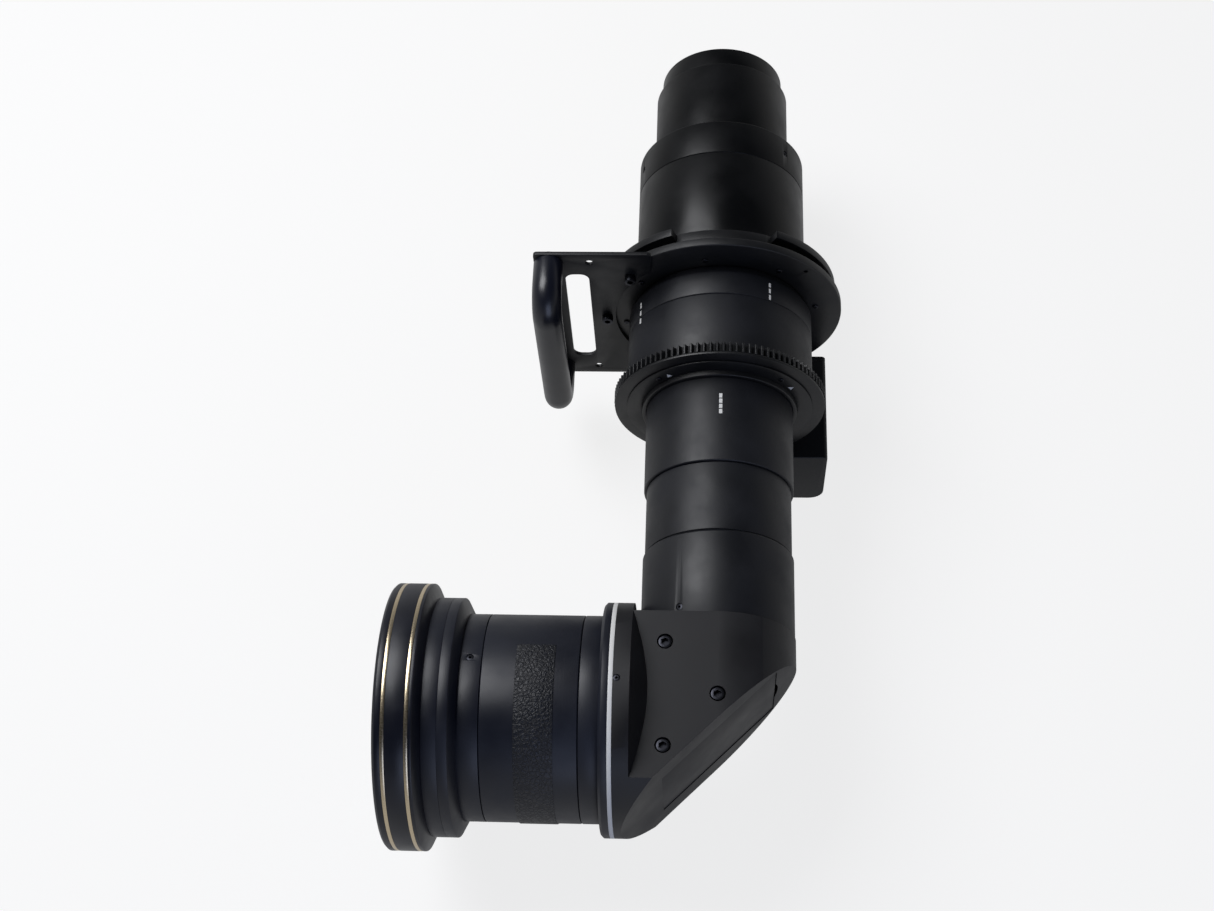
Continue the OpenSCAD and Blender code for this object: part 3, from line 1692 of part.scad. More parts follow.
rear_tip();
rear_glass();
rear_retainer();
rear_tube();
rear_collar();
rear_barrel();
bayonet_ring();
mount_disc();
disc_screws();
handle_plate();
plate_screws();
bow_handle();
handle_screws();
index_collar();
outer_barrel();
guide_sleeve();
zoom_ring();
index_disc();
index_screws();
drive_key();
cam_tube();
zoom_cell();
zoom_glass();
zoom_pins();
compensator_cell();
compensator_glass();
compensator_pins();
guide_rods();
slim_barrel();
middle_barrel();
lower_barrel();
set_screws();
elbow_housing();
elbow_screws();
mirror();
mirror_cover();
inlay_ring();
front_flange();
front_core();
front_base();
focus_ring();
grip_band();
front_head();
hood_collar();
hood_ring();
front_ring();
gold_rings();
front_glass();
front_retainer();
focus_cell();
focus_glass();
focus_pins();
motor_housing();
motor_cover();
motor();
motor_pinion();
drive_gear();
drive_shaft();
housing_screws();
housing_bolts();
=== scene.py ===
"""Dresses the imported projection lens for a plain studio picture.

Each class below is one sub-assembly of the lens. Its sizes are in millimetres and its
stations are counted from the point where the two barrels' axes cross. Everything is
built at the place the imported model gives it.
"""
import logging
import math
from dataclasses import dataclass, field
from enum import Enum

import bmesh
import bpy
from mathutils import Matrix, Vector


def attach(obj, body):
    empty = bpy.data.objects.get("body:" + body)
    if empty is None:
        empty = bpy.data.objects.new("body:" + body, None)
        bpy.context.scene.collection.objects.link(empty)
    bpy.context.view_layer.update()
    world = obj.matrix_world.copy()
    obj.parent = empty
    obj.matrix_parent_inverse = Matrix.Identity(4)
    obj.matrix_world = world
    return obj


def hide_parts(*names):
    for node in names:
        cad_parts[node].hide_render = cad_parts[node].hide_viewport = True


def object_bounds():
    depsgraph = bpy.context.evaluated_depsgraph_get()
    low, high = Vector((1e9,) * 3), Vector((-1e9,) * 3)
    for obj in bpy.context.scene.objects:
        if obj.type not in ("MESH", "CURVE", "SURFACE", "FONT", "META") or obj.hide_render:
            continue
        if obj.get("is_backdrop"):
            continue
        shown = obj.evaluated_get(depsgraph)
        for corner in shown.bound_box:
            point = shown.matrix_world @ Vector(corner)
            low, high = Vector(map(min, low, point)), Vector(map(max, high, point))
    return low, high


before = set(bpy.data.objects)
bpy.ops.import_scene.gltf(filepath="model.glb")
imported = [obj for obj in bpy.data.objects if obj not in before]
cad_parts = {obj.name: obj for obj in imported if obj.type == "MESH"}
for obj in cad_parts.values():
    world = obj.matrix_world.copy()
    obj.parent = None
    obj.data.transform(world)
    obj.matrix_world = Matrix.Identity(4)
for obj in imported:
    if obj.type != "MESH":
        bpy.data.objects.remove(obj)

log = logging.getLogger("projection_lens")

MM = 0.001
STEPS = 192
SEAT = 356.5
SMOOTH_ANGLE = math.radians(32)
Outline = list[tuple[float, float]]
Colour = tuple[float, float, float, float]


class Barrel(Enum):
    """The two axes that turned pieces are spun about."""

    LONG = "long"
    FRONT = "front"

    @property
    def centre(self) -> Vector:
        """A point on the axis, in metres."""
        return Vector((0.0, 0.0, 0.0)) if self is Barrel.LONG else Vector((0.0, -SEAT * MM, 0.0))

    @property
    def direction(self) -> Vector:
        """The way along the axis, away from the elbow."""
        return Vector((0.0, 1.0, 0.0)) if self is Barrel.LONG else Vector((-1.0, 0.0, 0.0))

    def at(self, radius: float, station: float, angle: float = 0.0) -> Vector:
        """Finds a point on a barrel.

        Args:
            radius: Distance from the axis in millimetres.
            station: Distance from the crossing of the axes in millimetres.
            angle: Degrees from straight up (+Z), towards +X on the long barrel and
                towards +Y on the front barrel.

        Returns:
            The point in metres, in the row frame.
        """
        side, up = radius * math.sin(math.radians(angle)), radius * math.cos(math.radians(angle))
        if self is Barrel.LONG:
            return Vector((side, station - SEAT, up)) * MM
        return Vector((-station, side - SEAT, up)) * MM

    def turn(self, angle: float) -> Matrix:
        """The rotation about the axis that carries angle 0 to this angle, in degrees."""
        spin = Matrix.Rotation(math.radians(angle), 4, self.direction)
        return Matrix.Translation(self.centre) @ spin @ Matrix.Translation(-self.centre)


def linear(code: str) -> Colour:
    """Turns a colour as written into the shader's linear one.

    Args:
        code: An sRGB hex colour such as "#1a1b1f".

    Returns:
        Red, green, blue and alpha, linear.
    """
    values = [int(code[i : i + 2], 16) / 255 for i in (1, 3, 5)]
    red, green, blue = [v / 12.92 if v <= 0.04045 else ((v + 0.055) / 1.055) ** 2.4 for v in values]
    return (red, green, blue, 1.0)


# ---- Finishes ----


def add_node(tree: bpy.types.NodeTree, kind: str, inputs: dict | None = None, **settings) -> bpy.types.Node:
    """Adds a node with its settings, values and links.

    Args:
        tree: The node tree to add to.
        kind: The node's type name.
        inputs: Input name or index to a value, or to a socket that is linked in.
        **settings: Properties set on the node.

    Returns:
        The new node.
    """
    node = tree.nodes.new(kind)
    for name, value in settings.items():
        setattr(node, name, value)
    for key, value in (inputs or {}).items():
        if isinstance(value, bpy.types.NodeSocket):
            tree.links.new(value, node.inputs[key])
        else:
            node.inputs[key].default_value = value
    return node


def start_material(name: str) -> tuple[bpy.types.Material, bpy.types.NodeTree, bpy.types.Node, bpy.types.NodeSocket]:
    """Starts a material.

    Args:
        name: The finish's name.

    Returns:
        The material, its tree, its shader and the object coordinates in metres.
    """
    material = bpy.data.materials.new(name)
    material.use_nodes = True
    tree = material.node_tree
    shader = tree.nodes["Principled BSDF"]
    place = add_node(tree, "ShaderNodeTexCoord").outputs["Object"]
    return material, tree, shader, place


def ramp(tree: bpy.types.NodeTree, value: bpy.types.NodeSocket, low: float, high: float, out_low: float, out_high: float) -> bpy.types.NodeSocket:
    """Maps a value from one range to another, clamped."""
    node = add_node(tree, "ShaderNodeMapRange", {0: value, 1: low, 2: high, 3: out_low, 4: out_high})
    return node.outputs[0]


@dataclass(frozen=True)
class AnodisedAluminium:
    """Bead-blasted aluminium, black anodised.

    The blasting gives a fine even grain that spreads each highlight wide, and handling
    leaves faint greasy patches that are a little smoother than the rest.
    """

    name: str
    colour: str
    worn: str
    roughness: float
    grain: float = 0.45
    patches: float = 46.0
    lathe: Barrel | None = None
    specular: float = 0.5
    depth: float = 0.05
    smudge: float = 0.08

    def build(self) -> bpy.types.Material:
        """Makes the material."""
        material, tree, shader, place = start_material(self.name)
        grain = add_node(tree, "ShaderNodeTexNoise", {"Vector": place, "Scale": 1 / (self.grain * MM), "Detail": 3.0})
        patch = add_node(tree, "ShaderNodeTexNoise", {"Vector": place, "Scale": 1 / (self.patches * MM), "Detail": 4.0, "Roughness": 0.6})
        rough = ramp(tree, patch.outputs[0], 0.35, 0.68, self.roughness - self.smudge, self.roughness + self.smudge)
        tree.links.new(rough, shader.inputs["Roughness"])
        shade = ramp(tree, patch.outputs[0], 0.42, 0.75, 0.0, 1.0)
        mix = add_node(tree, "ShaderNodeMix", {0: shade, 6: linear(self.colour), 7: linear(self.worn)}, data_type="RGBA")
        tree.links.new(mix.outputs[2], shader.inputs["Base Color"])
        height = grain.outputs[0]
        if self.lathe is not None:
            # The lathe's feed leaves rings 0.35 mm apart, drawn 0.7 mm apart so that they show.
            along = (0.0, 1.0, 0.0) if self.lathe is Barrel.LONG else (1.0, 0.0, 0.0)
            across = add_node(tree, "ShaderNodeVectorMath", {0: place, 1: along}, operation="DOT_PRODUCT")
            rings = add_node(tree, "ShaderNodeTexNoise", {"W": across.outputs["Value"], "Scale": 1 / (0.7 * MM), "Detail": 1.0}, noise_dimensions="1D")
            height = add_node(tree, "ShaderNodeMath", {0: rings.outputs[0], 1: grain.outputs[0]}, operation="ADD").outputs[0]
        bump = add_node(tree, "ShaderNodeBump", {"Height": height, "Strength": 0.35, "Distance": self.depth * MM})
        tree.links.new(bump.outputs[0], shader.inputs["Normal"])
        shader.inputs["Specular IOR Level"].default_value = self.specular
        return material


@dataclass(frozen=True)
class StovedEnamel:
    """Enamel baked on to metal: smooth, with a faint orange peel that bends highlights."""

    name: str
    colour: str
    roughness: float
    peel: float = 1.6
    coat: float = 0.3

    def build(self) -> bpy.types.Material:
        """Makes the material."""
        material, tree, shader, place = start_material(self.name)
        peel = add_node(tree, "ShaderNodeTexNoise", {"Vector": place, "Scale": 1 / (self.peel * MM), "Detail": 2.0})
        dust = add_node(tree, "ShaderNodeTexNoise", {"Vector": place, "Scale": 1 / (22 * MM), "Detail": 5.0})
        tree.links.new(ramp(tree, dust.outputs[0], 0.4, 0.7, self.roughness, self.roughness + 0.08), shader.inputs["Roughness"])
        bump = add_node(tree, "ShaderNodeBump", {"Height": peel.outputs[0], "Strength": 0.2, "Distance": 0.04 * MM})
        tree.links.new(bump.outputs[0], shader.inputs["Normal"])
        shader.inputs["Base Color"].default_value = linear(self.colour)
        shader.inputs["Coat Weight"].default_value = self.coat
        shader.inputs["Coat Roughness"].default_value = 0.25
        return material


@dataclass(frozen=True)
class TurnedMetal:
    """Bare or plated metal off the lathe: fine rings or polishing lines, full metal colour."""

    name: str
    colour: str
    roughness: float
    lines: float = 0.3

    def build(self) -> bpy.types.Material:
        """Makes the material."""
        material, tree, shader, place = start_material(self.name)
        lines = add_node(tree, "ShaderNodeTexNoise", {"Vector": place, "Scale": 1 / (self.lines * MM), "Detail": 4.0})
        tree.links.new(ramp(tree, lines.outputs[0], 0.3, 0.7, self.roughness - 0.06, self.roughness + 0.08), shader.inputs["Roughness"])
        bump = add_node(tree, "ShaderNodeBump", {"Height": lines.outputs[0], "Strength": 0.25, "Distance": 0.02 * MM})
        tree.links.new(bump.outputs[0], shader.inputs["Normal"])
        shader.inputs["Base Color"].default_value = linear(self.colour)
        shader.inputs["Metallic"].default_value = 1.0
        return material


@dataclass(frozen=True)
class CoatedGlass:
    """Optical glass with an anti-reflection coat, which leaves a dim blue-green glint."""

    name: str
    colour: str = "#dfe8f2"
    film: float = 380.0

    def build(self) -> bpy.types.Material:
        """Makes the material."""
        material, tree, shader, place = start_material(self.name)
        wipe = add_node(tree, "ShaderNodeTexNoise", {"Vector": place, "Scale": 1 / (18 * MM), "Detail": 4.0, "Distortion": 1.2})
        tree.links.new(ramp(tree, wipe.outputs[0], 0.45, 0.75, 0.01, 0.06), shader.inputs["Roughness"])
        shader.inputs["Base Color"].default_value = linear(self.colour)
        shader.inputs["IOR"].default_value = 1.62
        shader.inputs["Transmission Weight"].default_value = 1.0
        shader.inputs["Thin Film Thickness"].default_value = self.film
        shader.inputs["Thin Film IOR"].default_value = 1.38
        return material


@dataclass(frozen=True)
class LeatherGrainRubber:
    """Rubber sheet pressed with a leather grain: soft pebbles parted by fine creases, which are painted darker as
    shade.
    """

    name: str
    colour: str
    crease_shade: str
    pebble: float = 3.0

    def build(self) -> bpy.types.Material:
        """Makes the material."""
        material, tree, shader, place = start_material(self.name)
        drift = add_node(tree, "ShaderNodeTexNoise", {"Vector": place, "Scale": 1 / (5 * MM), "Detail": 3.0})
        shifted = add_node(tree, "ShaderNodeMix", {0: 0.0025, 4: place, 5: drift.outputs["Color"]}, data_type="VECTOR")
        cells = add_node(tree, "ShaderNodeTexVoronoi", {"Vector": shifted.outputs[1], "Scale": 1 / (self.pebble * MM), "Randomness": 1.0}, feature="DISTANCE_TO_EDGE")
        fine = add_node(tree, "ShaderNodeTexVoronoi", {"Vector": shifted.outputs[1], "Scale": 2.4 / (self.pebble * MM), "Randomness": 1.0}, feature="DISTANCE_TO_EDGE")
        pebbles = ramp(tree, cells.outputs["Distance"], 0.0, 0.22, 0.0, 1.0)
        small = ramp(tree, fine.outputs["Distance"], 0.0, 0.2, 0.0, 0.35)
        height = add_node(tree, "ShaderNodeMath", {0: pebbles, 1: small}, operation="ADD").outputs[0]
        # Painted shade: the creases take the darker colour and the pebble tops take the plain one.
        mix = add_node(tree, "ShaderNodeMix", {0: pebbles, 6: linear(self.crease_shade), 7: linear(self.colour)}, data_type="RGBA")
        tree.links.new(mix.outputs[2], shader.inputs["Base Color"])
        tree.links.new(ramp(tree, pebbles, 0.0, 1.0, 0.55, 0.38), shader.inputs["Roughness"])
        bump = add_node(tree, "ShaderNodeBump", {"Height": height, "Strength": 0.8, "Distance": 0.3 * MM})
        tree.links.new(bump.outputs[0], shader.inputs["Normal"])
        return material


@dataclass(frozen=True)
class MouldedPlastic:
    """Injection-moulded plastic with a spark-eroded texture, which breaks up its sheen."""

    name: str
    colour: str
    roughness: float = 0.55
    grain: float = 0.6
    subsurface: float = 0.0

    def build(self) -> bpy.types.Material:
        """Makes the material."""
        material, tree, shader, place = start_material(self.name)
        grain = add_node(tree, "ShaderNodeTexNoise", {"Vector": place, "Scale": 1 / (self.grain * MM), "Detail": 4.0, "Roughness": 0.65})
        tree.links.new(ramp(tree, grain.outputs[0], 0.35, 0.65, self.roughness - 0.06, self.roughness + 0.08), shader.inputs["Roughness"])
        bump = add_node(tree, "ShaderNodeBump", {"Height": grain.outputs[0], "Strength": 0.5, "Distance": 0.05 * MM})
        tree.links.new(bump.outputs[0], shader.inputs["Normal"])
        shader.inputs["Base Color"].default_value = linear(self.colour)
        shader.inputs["Subsurface Weight"].default_value = self.subsurface
        return material


class Finish(Enum):
    """Every finish on the lens, by the piece that carries it."""

    SLIM_BARREL = AnodisedAluminium("barrel_anodising", "#101218", "#14161e", 0.5)
    # Painted shade: the rear barrel's colours are a darker copy of the barrel anodising, for the dimmer light that
    # falls on it.
    REAR_BARREL = AnodisedAluminium("rear_barrel_shaded_anodising", "#08090b", "#0b0c0f", 0.36, lathe=Barrel.LONG, specular=0.3)
    FRONT_BARREL = AnodisedAluminium("front_barrel_anodising", "#0f1320", "#131827", 0.44, lathe=Barrel.FRONT)
    ELBOW = AnodisedAluminium("elbow_anodising", "#141418", "#18181d", 0.5, patches=60.0)
    RING = AnodisedAluminium("zoom_ring_anodising", "#0e0f12", "#131418", 0.42)
    INSIDE = AnodisedAluminium("inner_barrel_anodising", "#0a0a0c", "#0d0d10", 0.6)
    HANDLE = StovedEnamel("handle_enamel", "#0c101e", 0.32)
    PLATE = AnodisedAluminium("plate_anodising", "#121316", "#17181c", 0.45)
    FRONT_RING = AnodisedAluminium("front_ring_anodising", "#0d101c", "#121523", 0.38)
    WHITE = StovedEnamel("white_fill_enamel", "#f1f1f0", 0.45, peel=0.9, coat=0.0)
    GOLD = TurnedMetal("champagne_anodised_line", "#dccbac", 0.26)
    BLACK_STEEL = TurnedMetal("black_oxide_steel", "#3a3b41", 0.36)
    STEEL = TurnedMetal("polished_steel", "#9a9ca2", 0.26)
    BRASS = TurnedMetal("turned_brass", "#b59a55", 0.3)
    MIRROR = TurnedMetal("front_silvered_mirror", "#d6dde4", 0.08)
    GLASS = CoatedGlass("coated_optical_glass")
    # The grip's second colour is painted shade for the creases.
    GRIP = LeatherGrainRubber("leather_grain_rubber", "#12151f", "#0b0d14")
    HOUSING = MouldedPlastic("spark_textured_housing", "#0d0e12")
    GEAR = MouldedPlastic("acetal_gear", "#c4bea6", 0.42, 1.2, 0.1)


MATERIALS: dict[Finish, bpy.types.Material] = {}


def material_of(finish: Finish) -> bpy.types.Material:
    """The built material of a finish, made once."""
    if finish not in MATERIALS:
        MATERIALS[finish] = finish.value.build()
    return MATERIALS[finish]


def dress(piece: bpy.types.Object, finish: Finish) -> None:
    """Gives a piece one material all over."""
    piece.data.materials.clear()
    piece.data.materials.append(material_of(finish))


# ---- Shop tools ----


def clear_selection() -> None:
    """Deselects everything."""
    if bpy.context.object is not None and bpy.context.object.mode != "OBJECT":
        bpy.ops.object.mode_set(mode="OBJECT")
    bpy.ops.object.select_all(action="DESELECT")


def pick(piece: bpy.types.Object) -> None:
    """Selects one piece alone and makes it active."""
    clear_selection()
    piece.select_set(True)
    bpy.context.view_layer.objects.active = piece


def settle(piece: bpy.types.Object) -> bpy.types.Object:
    """Puts a piece's place into its mesh, so that its object sits at the origin."""
    pick(piece)
    bpy.ops.object.transform_apply(location=True, rotation=True, scale=True)
    return piece


def apply_modifier(piece: bpy.types.Object, kind: str, **settings) -> None:
    """Adds a modifier with its settings and applies it."""
    pick(piece)
    modifier = piece.modifiers.new(kind.lower(), kind)
    for name, value in settings.items():
        setattr(modifier, name, value)
    bpy.ops.object.modifier_apply(modifier=modifier.name)


def break_edges(piece: bpy.types.Object, width: float, segments: int = 2, angle: float = 30.0) -> None:
    """Rounds every sharp edge.

    Args:
        piece: The piece to finish.
        width: Width of the rounding in millimetres.
        segments: Faces across the rounding.
        angle: Edges sharper than this many degrees are rounded.
    """
    apply_modifier(piece, "BEVEL", width=width * MM, segments=segments, limit_method="ANGLE", angle_limit=math.radians(angle), use_clamp_overlap=True)


def smooth(piece: bpy.types.Object) -> bpy.types.Object:
    """Shades a piece smooth, apart from its sharp edges."""
    pick(piece)
    bpy.ops.object.shade_smooth_by_angle(angle=SMOOTH_ANGLE)
    return piece


def face_outwards(piece: bpy.types.Object) -> None:
    """Merges doubles and turns every face outwards."""
    pick(piece)
    bpy.ops.object.mode_set(mode="EDIT")
    bpy.ops.mesh.select_all(action="SELECT")
    bpy.ops.mesh.remove_doubles(threshold=0.001 * MM)
    bpy.ops.mesh.normals_make_consistent(inside=False)
    bpy.ops.object.mode_set(mode="OBJECT")


def combine(piece: bpy.types.Object, tool: bpy.types.Object, how: str) -> None:
    """Cuts a tool out of a piece, adds it, or keeps what they share, and deletes the tool."""
    apply_modifier(piece, "BOOLEAN", operation=how, object=tool, solver="EXACT")
    bpy.data.objects.remove(tool, do_unlink=True)


def turned(name: str, barrel: Barrel, outline: Outline, start: float = 0.0, sweep: float = 360.0, steps: int = STEPS) -> bpy.types.Object:
    """Turns a closed outline about a barrel's axis.

    Args:
        name: The piece's name.
        barrel: The axis it is turned about.
        outline: Corners of the section as (radius, station) in millimetres.
        start: Angle where a part turn starts, in degrees.
        sweep: Degrees of turn, 360 for a whole ring.
        steps: Faces round the turn.

    Returns:
        The closed piece.
    """
    clear_selection()
    bpy.ops.mesh.primitive_circle_add(vertices=len(outline), radius=MM, fill_type="NOTHING")
    piece = bpy.context.object
    piece.name = name
    for vertex, (radius, station) in zip(piece.data.vertices, outline):
        vertex.co = barrel.at(radius, station, start)
    whole = abs(sweep - 360.0) < 1e-6
    bpy.ops.object.mode_set(mode="EDIT")
    bpy.ops.mesh.select_all(action="SELECT")
    if not whole:
        bpy.ops.mesh.edge_face_add()
    # The operator turns against its axis, so the angle is negative
    bpy.ops.mesh.spin(steps=steps, angle=-math.radians(sweep), center=barrel.centre, axis=barrel.direction)
    bpy.ops.object.mode_set(mode="OBJECT")
    face_outwards(piece)
    return piece


def rod(name: str, radius: float, low: Vector, high: Vector, sides: int = 48) -> bpy.types.Object:
    """A round rod between two points in metres, with its radius in millimetres."""
    clear_selection()
    along = high - low
    bpy.ops.mesh.primitive_cylinder_add(vertices=sides, radius=radius * MM, depth=along.length, location=(low + high) / 2, rotation=along.to_track_quat("Z", "Y").to_euler())
    piece = bpy.context.object
    piece.name = name
    return settle(piece)


def block(name: str, low: tuple[float, float, float], high: tuple[float, float, float]) -> bpy.types.Object:
    """A block between two corners given as X, station and Z in millimetres."""
    clear_selection()
    size = [h - l for l, h in zip(low, high)]
    middle = [(h + l) / 2 for l, h in zip(low, high)]
    bpy.ops.mesh.primitive_cube_add(size=1.0, location=(middle[0] * MM, (middle[1] - SEAT) * MM, middle[2] * MM), scale=[s * MM for s in size])
    piece = bpy.context.object
    piece.name = name
    return settle(piece)


def bisect(piece: bpy.types.Object, point: Vector, outward: Vector) -> None:
    """Cuts away what lies beyond a plane and closes the cut."""
    pick(piece)
    bpy.ops.object.mode_set(mode="EDIT")
    bpy.ops.mesh.select_all(action="SELECT")
    bpy.ops.mesh.bisect(plane_co=point, plane_no=outward, use_fill=True, clear_outer=True)
    bpy.ops.object.mode_set(mode="OBJECT")


def copy_of(piece: bpy.types.Object, name: str, place: Matrix) -> bpy.types.Object:
    """A copy with its own mesh, moved by a matrix into its place."""
    clone = piece.copy()
    clone.data = piece.data.copy()
    clone.name = name
    bpy.context.scene.collection.objects.link(clone)
    clone.matrix_world = place @ piece.matrix_world
    return settle(clone)


def join(name: str, parts: list[bpy.types.Object]) -> bpy.types.Object:
    """Joins parts into one piece with the given name."""
    clear_selection()
    for part in parts:
        part.select_set(True)
    bpy.context.view_layer.objects.active = parts[0]
    bpy.ops.object.join()
    piece = bpy.context.object
    piece.name = name
    return piece


def fit(piece: bpy.types.Object, finish: Finish, body: str, *nodes: str, slot: str | None = None) -> bpy.types.Object:
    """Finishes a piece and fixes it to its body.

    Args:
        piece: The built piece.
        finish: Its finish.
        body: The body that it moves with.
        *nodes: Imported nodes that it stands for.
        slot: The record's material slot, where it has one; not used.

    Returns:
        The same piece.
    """
    smooth(piece)
    dress(piece, finish)
    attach(piece, body)
    if nodes:
        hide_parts(*nodes)
    log.info("%s: %d faces on %s", piece.name, len(piece.data.polygons), body)
    return piece


@dataclass
class CapScrew:
    """A socket head cap screw's head, standing on +Z with its seat at the origin."""

    radius: float
    height: float
    socket: float
    depth: float
    rounding: float = 0.35

    def build(self, name: str) -> bpy.types.Object:
        """Models the head once, for copying."""
        head = rod(name, self.radius, Vector((0, 0, 0)), Vector((0, 0, self.height * MM)), 40)
        break_edges(head, self.rounding, 2, 40)
        key = rod("key", self.socket, Vector((0, 0, (self.height - self.depth) * MM)), Vector((0, 0, (self.height + 1) * MM)), 6)
        combine(head, key, "DIFFERENCE")
        return head


@dataclass
class PanScrew:
    """A small pan head with a cross recess, standing on +Z with its seat at the origin."""

    radius: float = 2.2
    height: float = 1.2
    slot_width: float = 0.5
    slot_depth: float = 0.6

    def build(self, name: str) -> bpy.types.Object:
        """Models the head once, for copying."""
        head = rod(name, self.radius, Vector((0, 0, 0)), Vector((0, 0, self.height * MM)), 32)
        break_edges(head, 0.4, 3, 40)
        reach = self.radius * 0.62
        for angle in (0, 90):
            clear_selection()
            bpy.ops.mesh.primitive_cube_add(size=1.0, location=(0, 0, self.height * MM), rotation=(0, 0, math.radians(angle)), scale=(2 * reach * MM, self.slot_width * MM, 2 * self.slot_depth * MM))
            combine(head, settle(bpy.context.object), "DIFFERENCE")
        return head


def set_in(screw: bpy.types.Object, name: str, places: list[Matrix]) -> bpy.types.Object:
    """Copies a modelled screw to every place and joins the copies."""
    copies = [copy_of(screw, f"{name}_{i}", place) for i, place in enumerate(places)]
    bpy.data.objects.remove(screw, do_unlink=True)
    return join(name, copies)


def facing(point: Vector, outward: Vector) -> Matrix:
    """The place of a piece modelled along +Z that stands at a point and faces outward."""
    return Matrix.Translation(point) @ outward.to_track_quat("Z", "Y").to_matrix().to_4x4()


# ---- Stations, shared by the sub-assemblies ----


@dataclass(frozen=True)
class Drawing:
    """Stations along both barrels and the radii that meet, in millimetres."""

    elbow_top: float = 59.0
    lower_top: float = 122.0
    middle_top: float = 175.5
    lip: float = 243.5
    rim: float = 249.0
    teeth: float = 251.0
    ring_back: float = 259.0
    outer: float = 259.4
    index: float = 306.5
    neck: float = 325.8
    disc: float = 333.3
    floor: float = 339.4
    mount: float = 339.9
    lug: float = 350.0
    seam: float = 440.0
    collar: float = 471.0
    tube: float = 538.5
    tip: float = 557.7
    flange_back: float = 57.6
    flange: float = 68.7
    inlay: float = 71.7
    base: float = 78.0
    focus: float = 91.2
    head: float = 157.1
    hood: float = 171.5
    hood_ring: float = 182.7
    slope: float = 193.1
    front: float = 197.5
    end: float = 223.7


D = Drawing()
# The bolts that hold the drive housing are sunk in the mount disc
BOLT_RING = 87.2
BOLT_SINK = 2.0
BOLT_ANGLES = (56.0, 74.0)


@dataclass
class RearBarrel:
    """Everything behind the mount disc, which goes into the projector."""

    tip_r: float = 49.0
    tip_bore: float = 45.0
    tube_r: float = 53.4
    barrel_r: float = 65.6
    seat_r: float = 64.0
    bore: float = 61.0
    sleeve_r: float = 58.3
    neck_r: float = 80.0
    lug_r: float = 89.0
    key_r: float = 85.0
    key_t: float = 13.0
    gap: float = 52.0
    gap_at: float = 1.4
    glass_r: float = 45.0
    glass_t: float = 11.0
    glass_curve: float = 150.0
    baffle_pitch: float = 1.5

    def build(self) -> None:
        """Builds the tip, tube, collar, barrel, bayonet and rear glass."""
        self.build_tip()
        self.build_tube()
        self.build_collar()
        self.build_bayonet()

    def build_tip(self) -> None:
        """The tip with its baffle grooves, the rear glass and its retaining ring."""
        seat = D.tip - 4 - 3 - self.glass_t + self.glass_curve - math.sqrt(self.glass_curve**2 - 40.5**2)
        mouth: Outline = [(self.tip_bore, D.tip)]
        station = D.tip - 0.6
        while station > D.tip - 4 + 0.4:
            mouth += [(self.tip_bore, station), (self.tip_bore + 0.5, station - self.baffle_pitch / 4), (self.tip_bore, station - self.baffle_pitch / 2)]
            station -= self.baffle_pitch
        tip = turned("rear_tip_turned", Barrel.LONG, [
            (self.tip_bore - 4, D.tube - 9), (self.tip_r, D.tube - 9), (self.tip_r, D.tip), *mouth,
            (self.tip_bore, seat), (self.tip_bore - 4, seat)])
        break_edges(tip, 0.7, 3)
        fit(tip, Finish.REAR_BARREL, "lens_body", "rear_tip", slot="black_anodised")
        arc = [(self.glass_r * i / 14, seat + self.glass_t - self.glass_curve + math.sqrt(self.glass_curve**2 - (self.glass_r * i / 14) ** 2)) for i in range(14, -1, -1)]
        glass = turned("rear_glass_ground", Barrel.LONG, [(0.0, seat), (self.glass_r - 0.05, seat), *[(min(r, self.glass_r - 0.05), y) for r, y in arc]])
        fit(glass, Finish.GLASS, "lens_body", "rear_glass", slot="lens_glass")
        ring = turned("rear_retainer_turned", Barrel.LONG, [(40.5, D.tip - 7), (self.tip_bore - 0.05, D.tip - 7), (self.tip_bore - 0.05, D.tip - 4), (41.6, D.tip - 4), (40.5, D.tip - 5.2)])
        break_edges(ring, 0.25)
        spanner = block("spanner", (-60, D.tip - 5, -1.2), (60, D.tip, 1.2))
        combine(ring, spanner, "DIFFERENCE")
        fit(ring, Finish.INSIDE, "lens_body", "rear_retainer", slot="dark_anodised")

    def build_tube(self) -> None:
        """The rear tube that carries the tip."""
        foot = D.collar - 4
        tube = turned("rear_tube_turned", Barrel.LONG, [
            (self.tip_r, foot - 6), (58.0, foot - 6), (58.0, foot), (self.tube_r, foot),
            (self.tube_r, D.collar + 1.2), (self.tube_r - 0.5, D.collar + 1.8), (self.tube_r - 0.5, D.collar + 2.8), (self.tube_r, D.collar + 3.4),
            (self.tube_r, D.tube), (self.tip_r, D.tube)])
        break_edges(tube, 0.5, 3)
        fit(tube, Finish.REAR_BARREL, "lens_body", "rear_tube", slot="black_anodised")

    def build_collar(self) -> None:
        """The collar behind the seam and the barrel in front of it."""
        collar = turned("rear_collar_turned", Barrel.LONG, [
            (58.0, D.seam - 9), (self.bore, D.seam - 9), (self.bore, D.seam), (self.barrel_r - 0.6, D.seam), (self.barrel_r, D.seam + 0.6),
            (self.barrel_r, D.collar - 1.5), (self.barrel_r - 1.5, D.collar), (self.tube_r, D.collar), (self.tube_r, D.collar - 4), (58.0, D.collar - 4)])
        for k in range(3):
            angle = 49.7 + 120 * k
            combine(collar, rod("drill", 2.5, Barrel.LONG.at(62.1, D.seam + 15.9, angle), Barrel.LONG.at(67, D.seam + 15.9, angle)), "DIFFERENCE")
        break_edges(collar, 0.3)
        fit(collar, Finish.REAR_BARREL, "lens_body", "rear_collar", slot="black_anodised")
        barrel = turned("rear_barrel_turned", Barrel.LONG, [
            (self.sleeve_r, D.disc), (self.seat_r, D.disc), (self.seat_r, SEAT), (self.barrel_r, SEAT), (self.barrel_r, D.seam - 0.6), (self.barrel_r - 0.6, D.seam),
            (self.bore, D.seam), (self.bore, D.mount), (self.sleeve_r, D.mount)])
        break_edges(barrel, 0.2)
        fit(barrel, Finish.REAR_BARREL, "lens_body", "rear_barrel", slot="black_anodised")

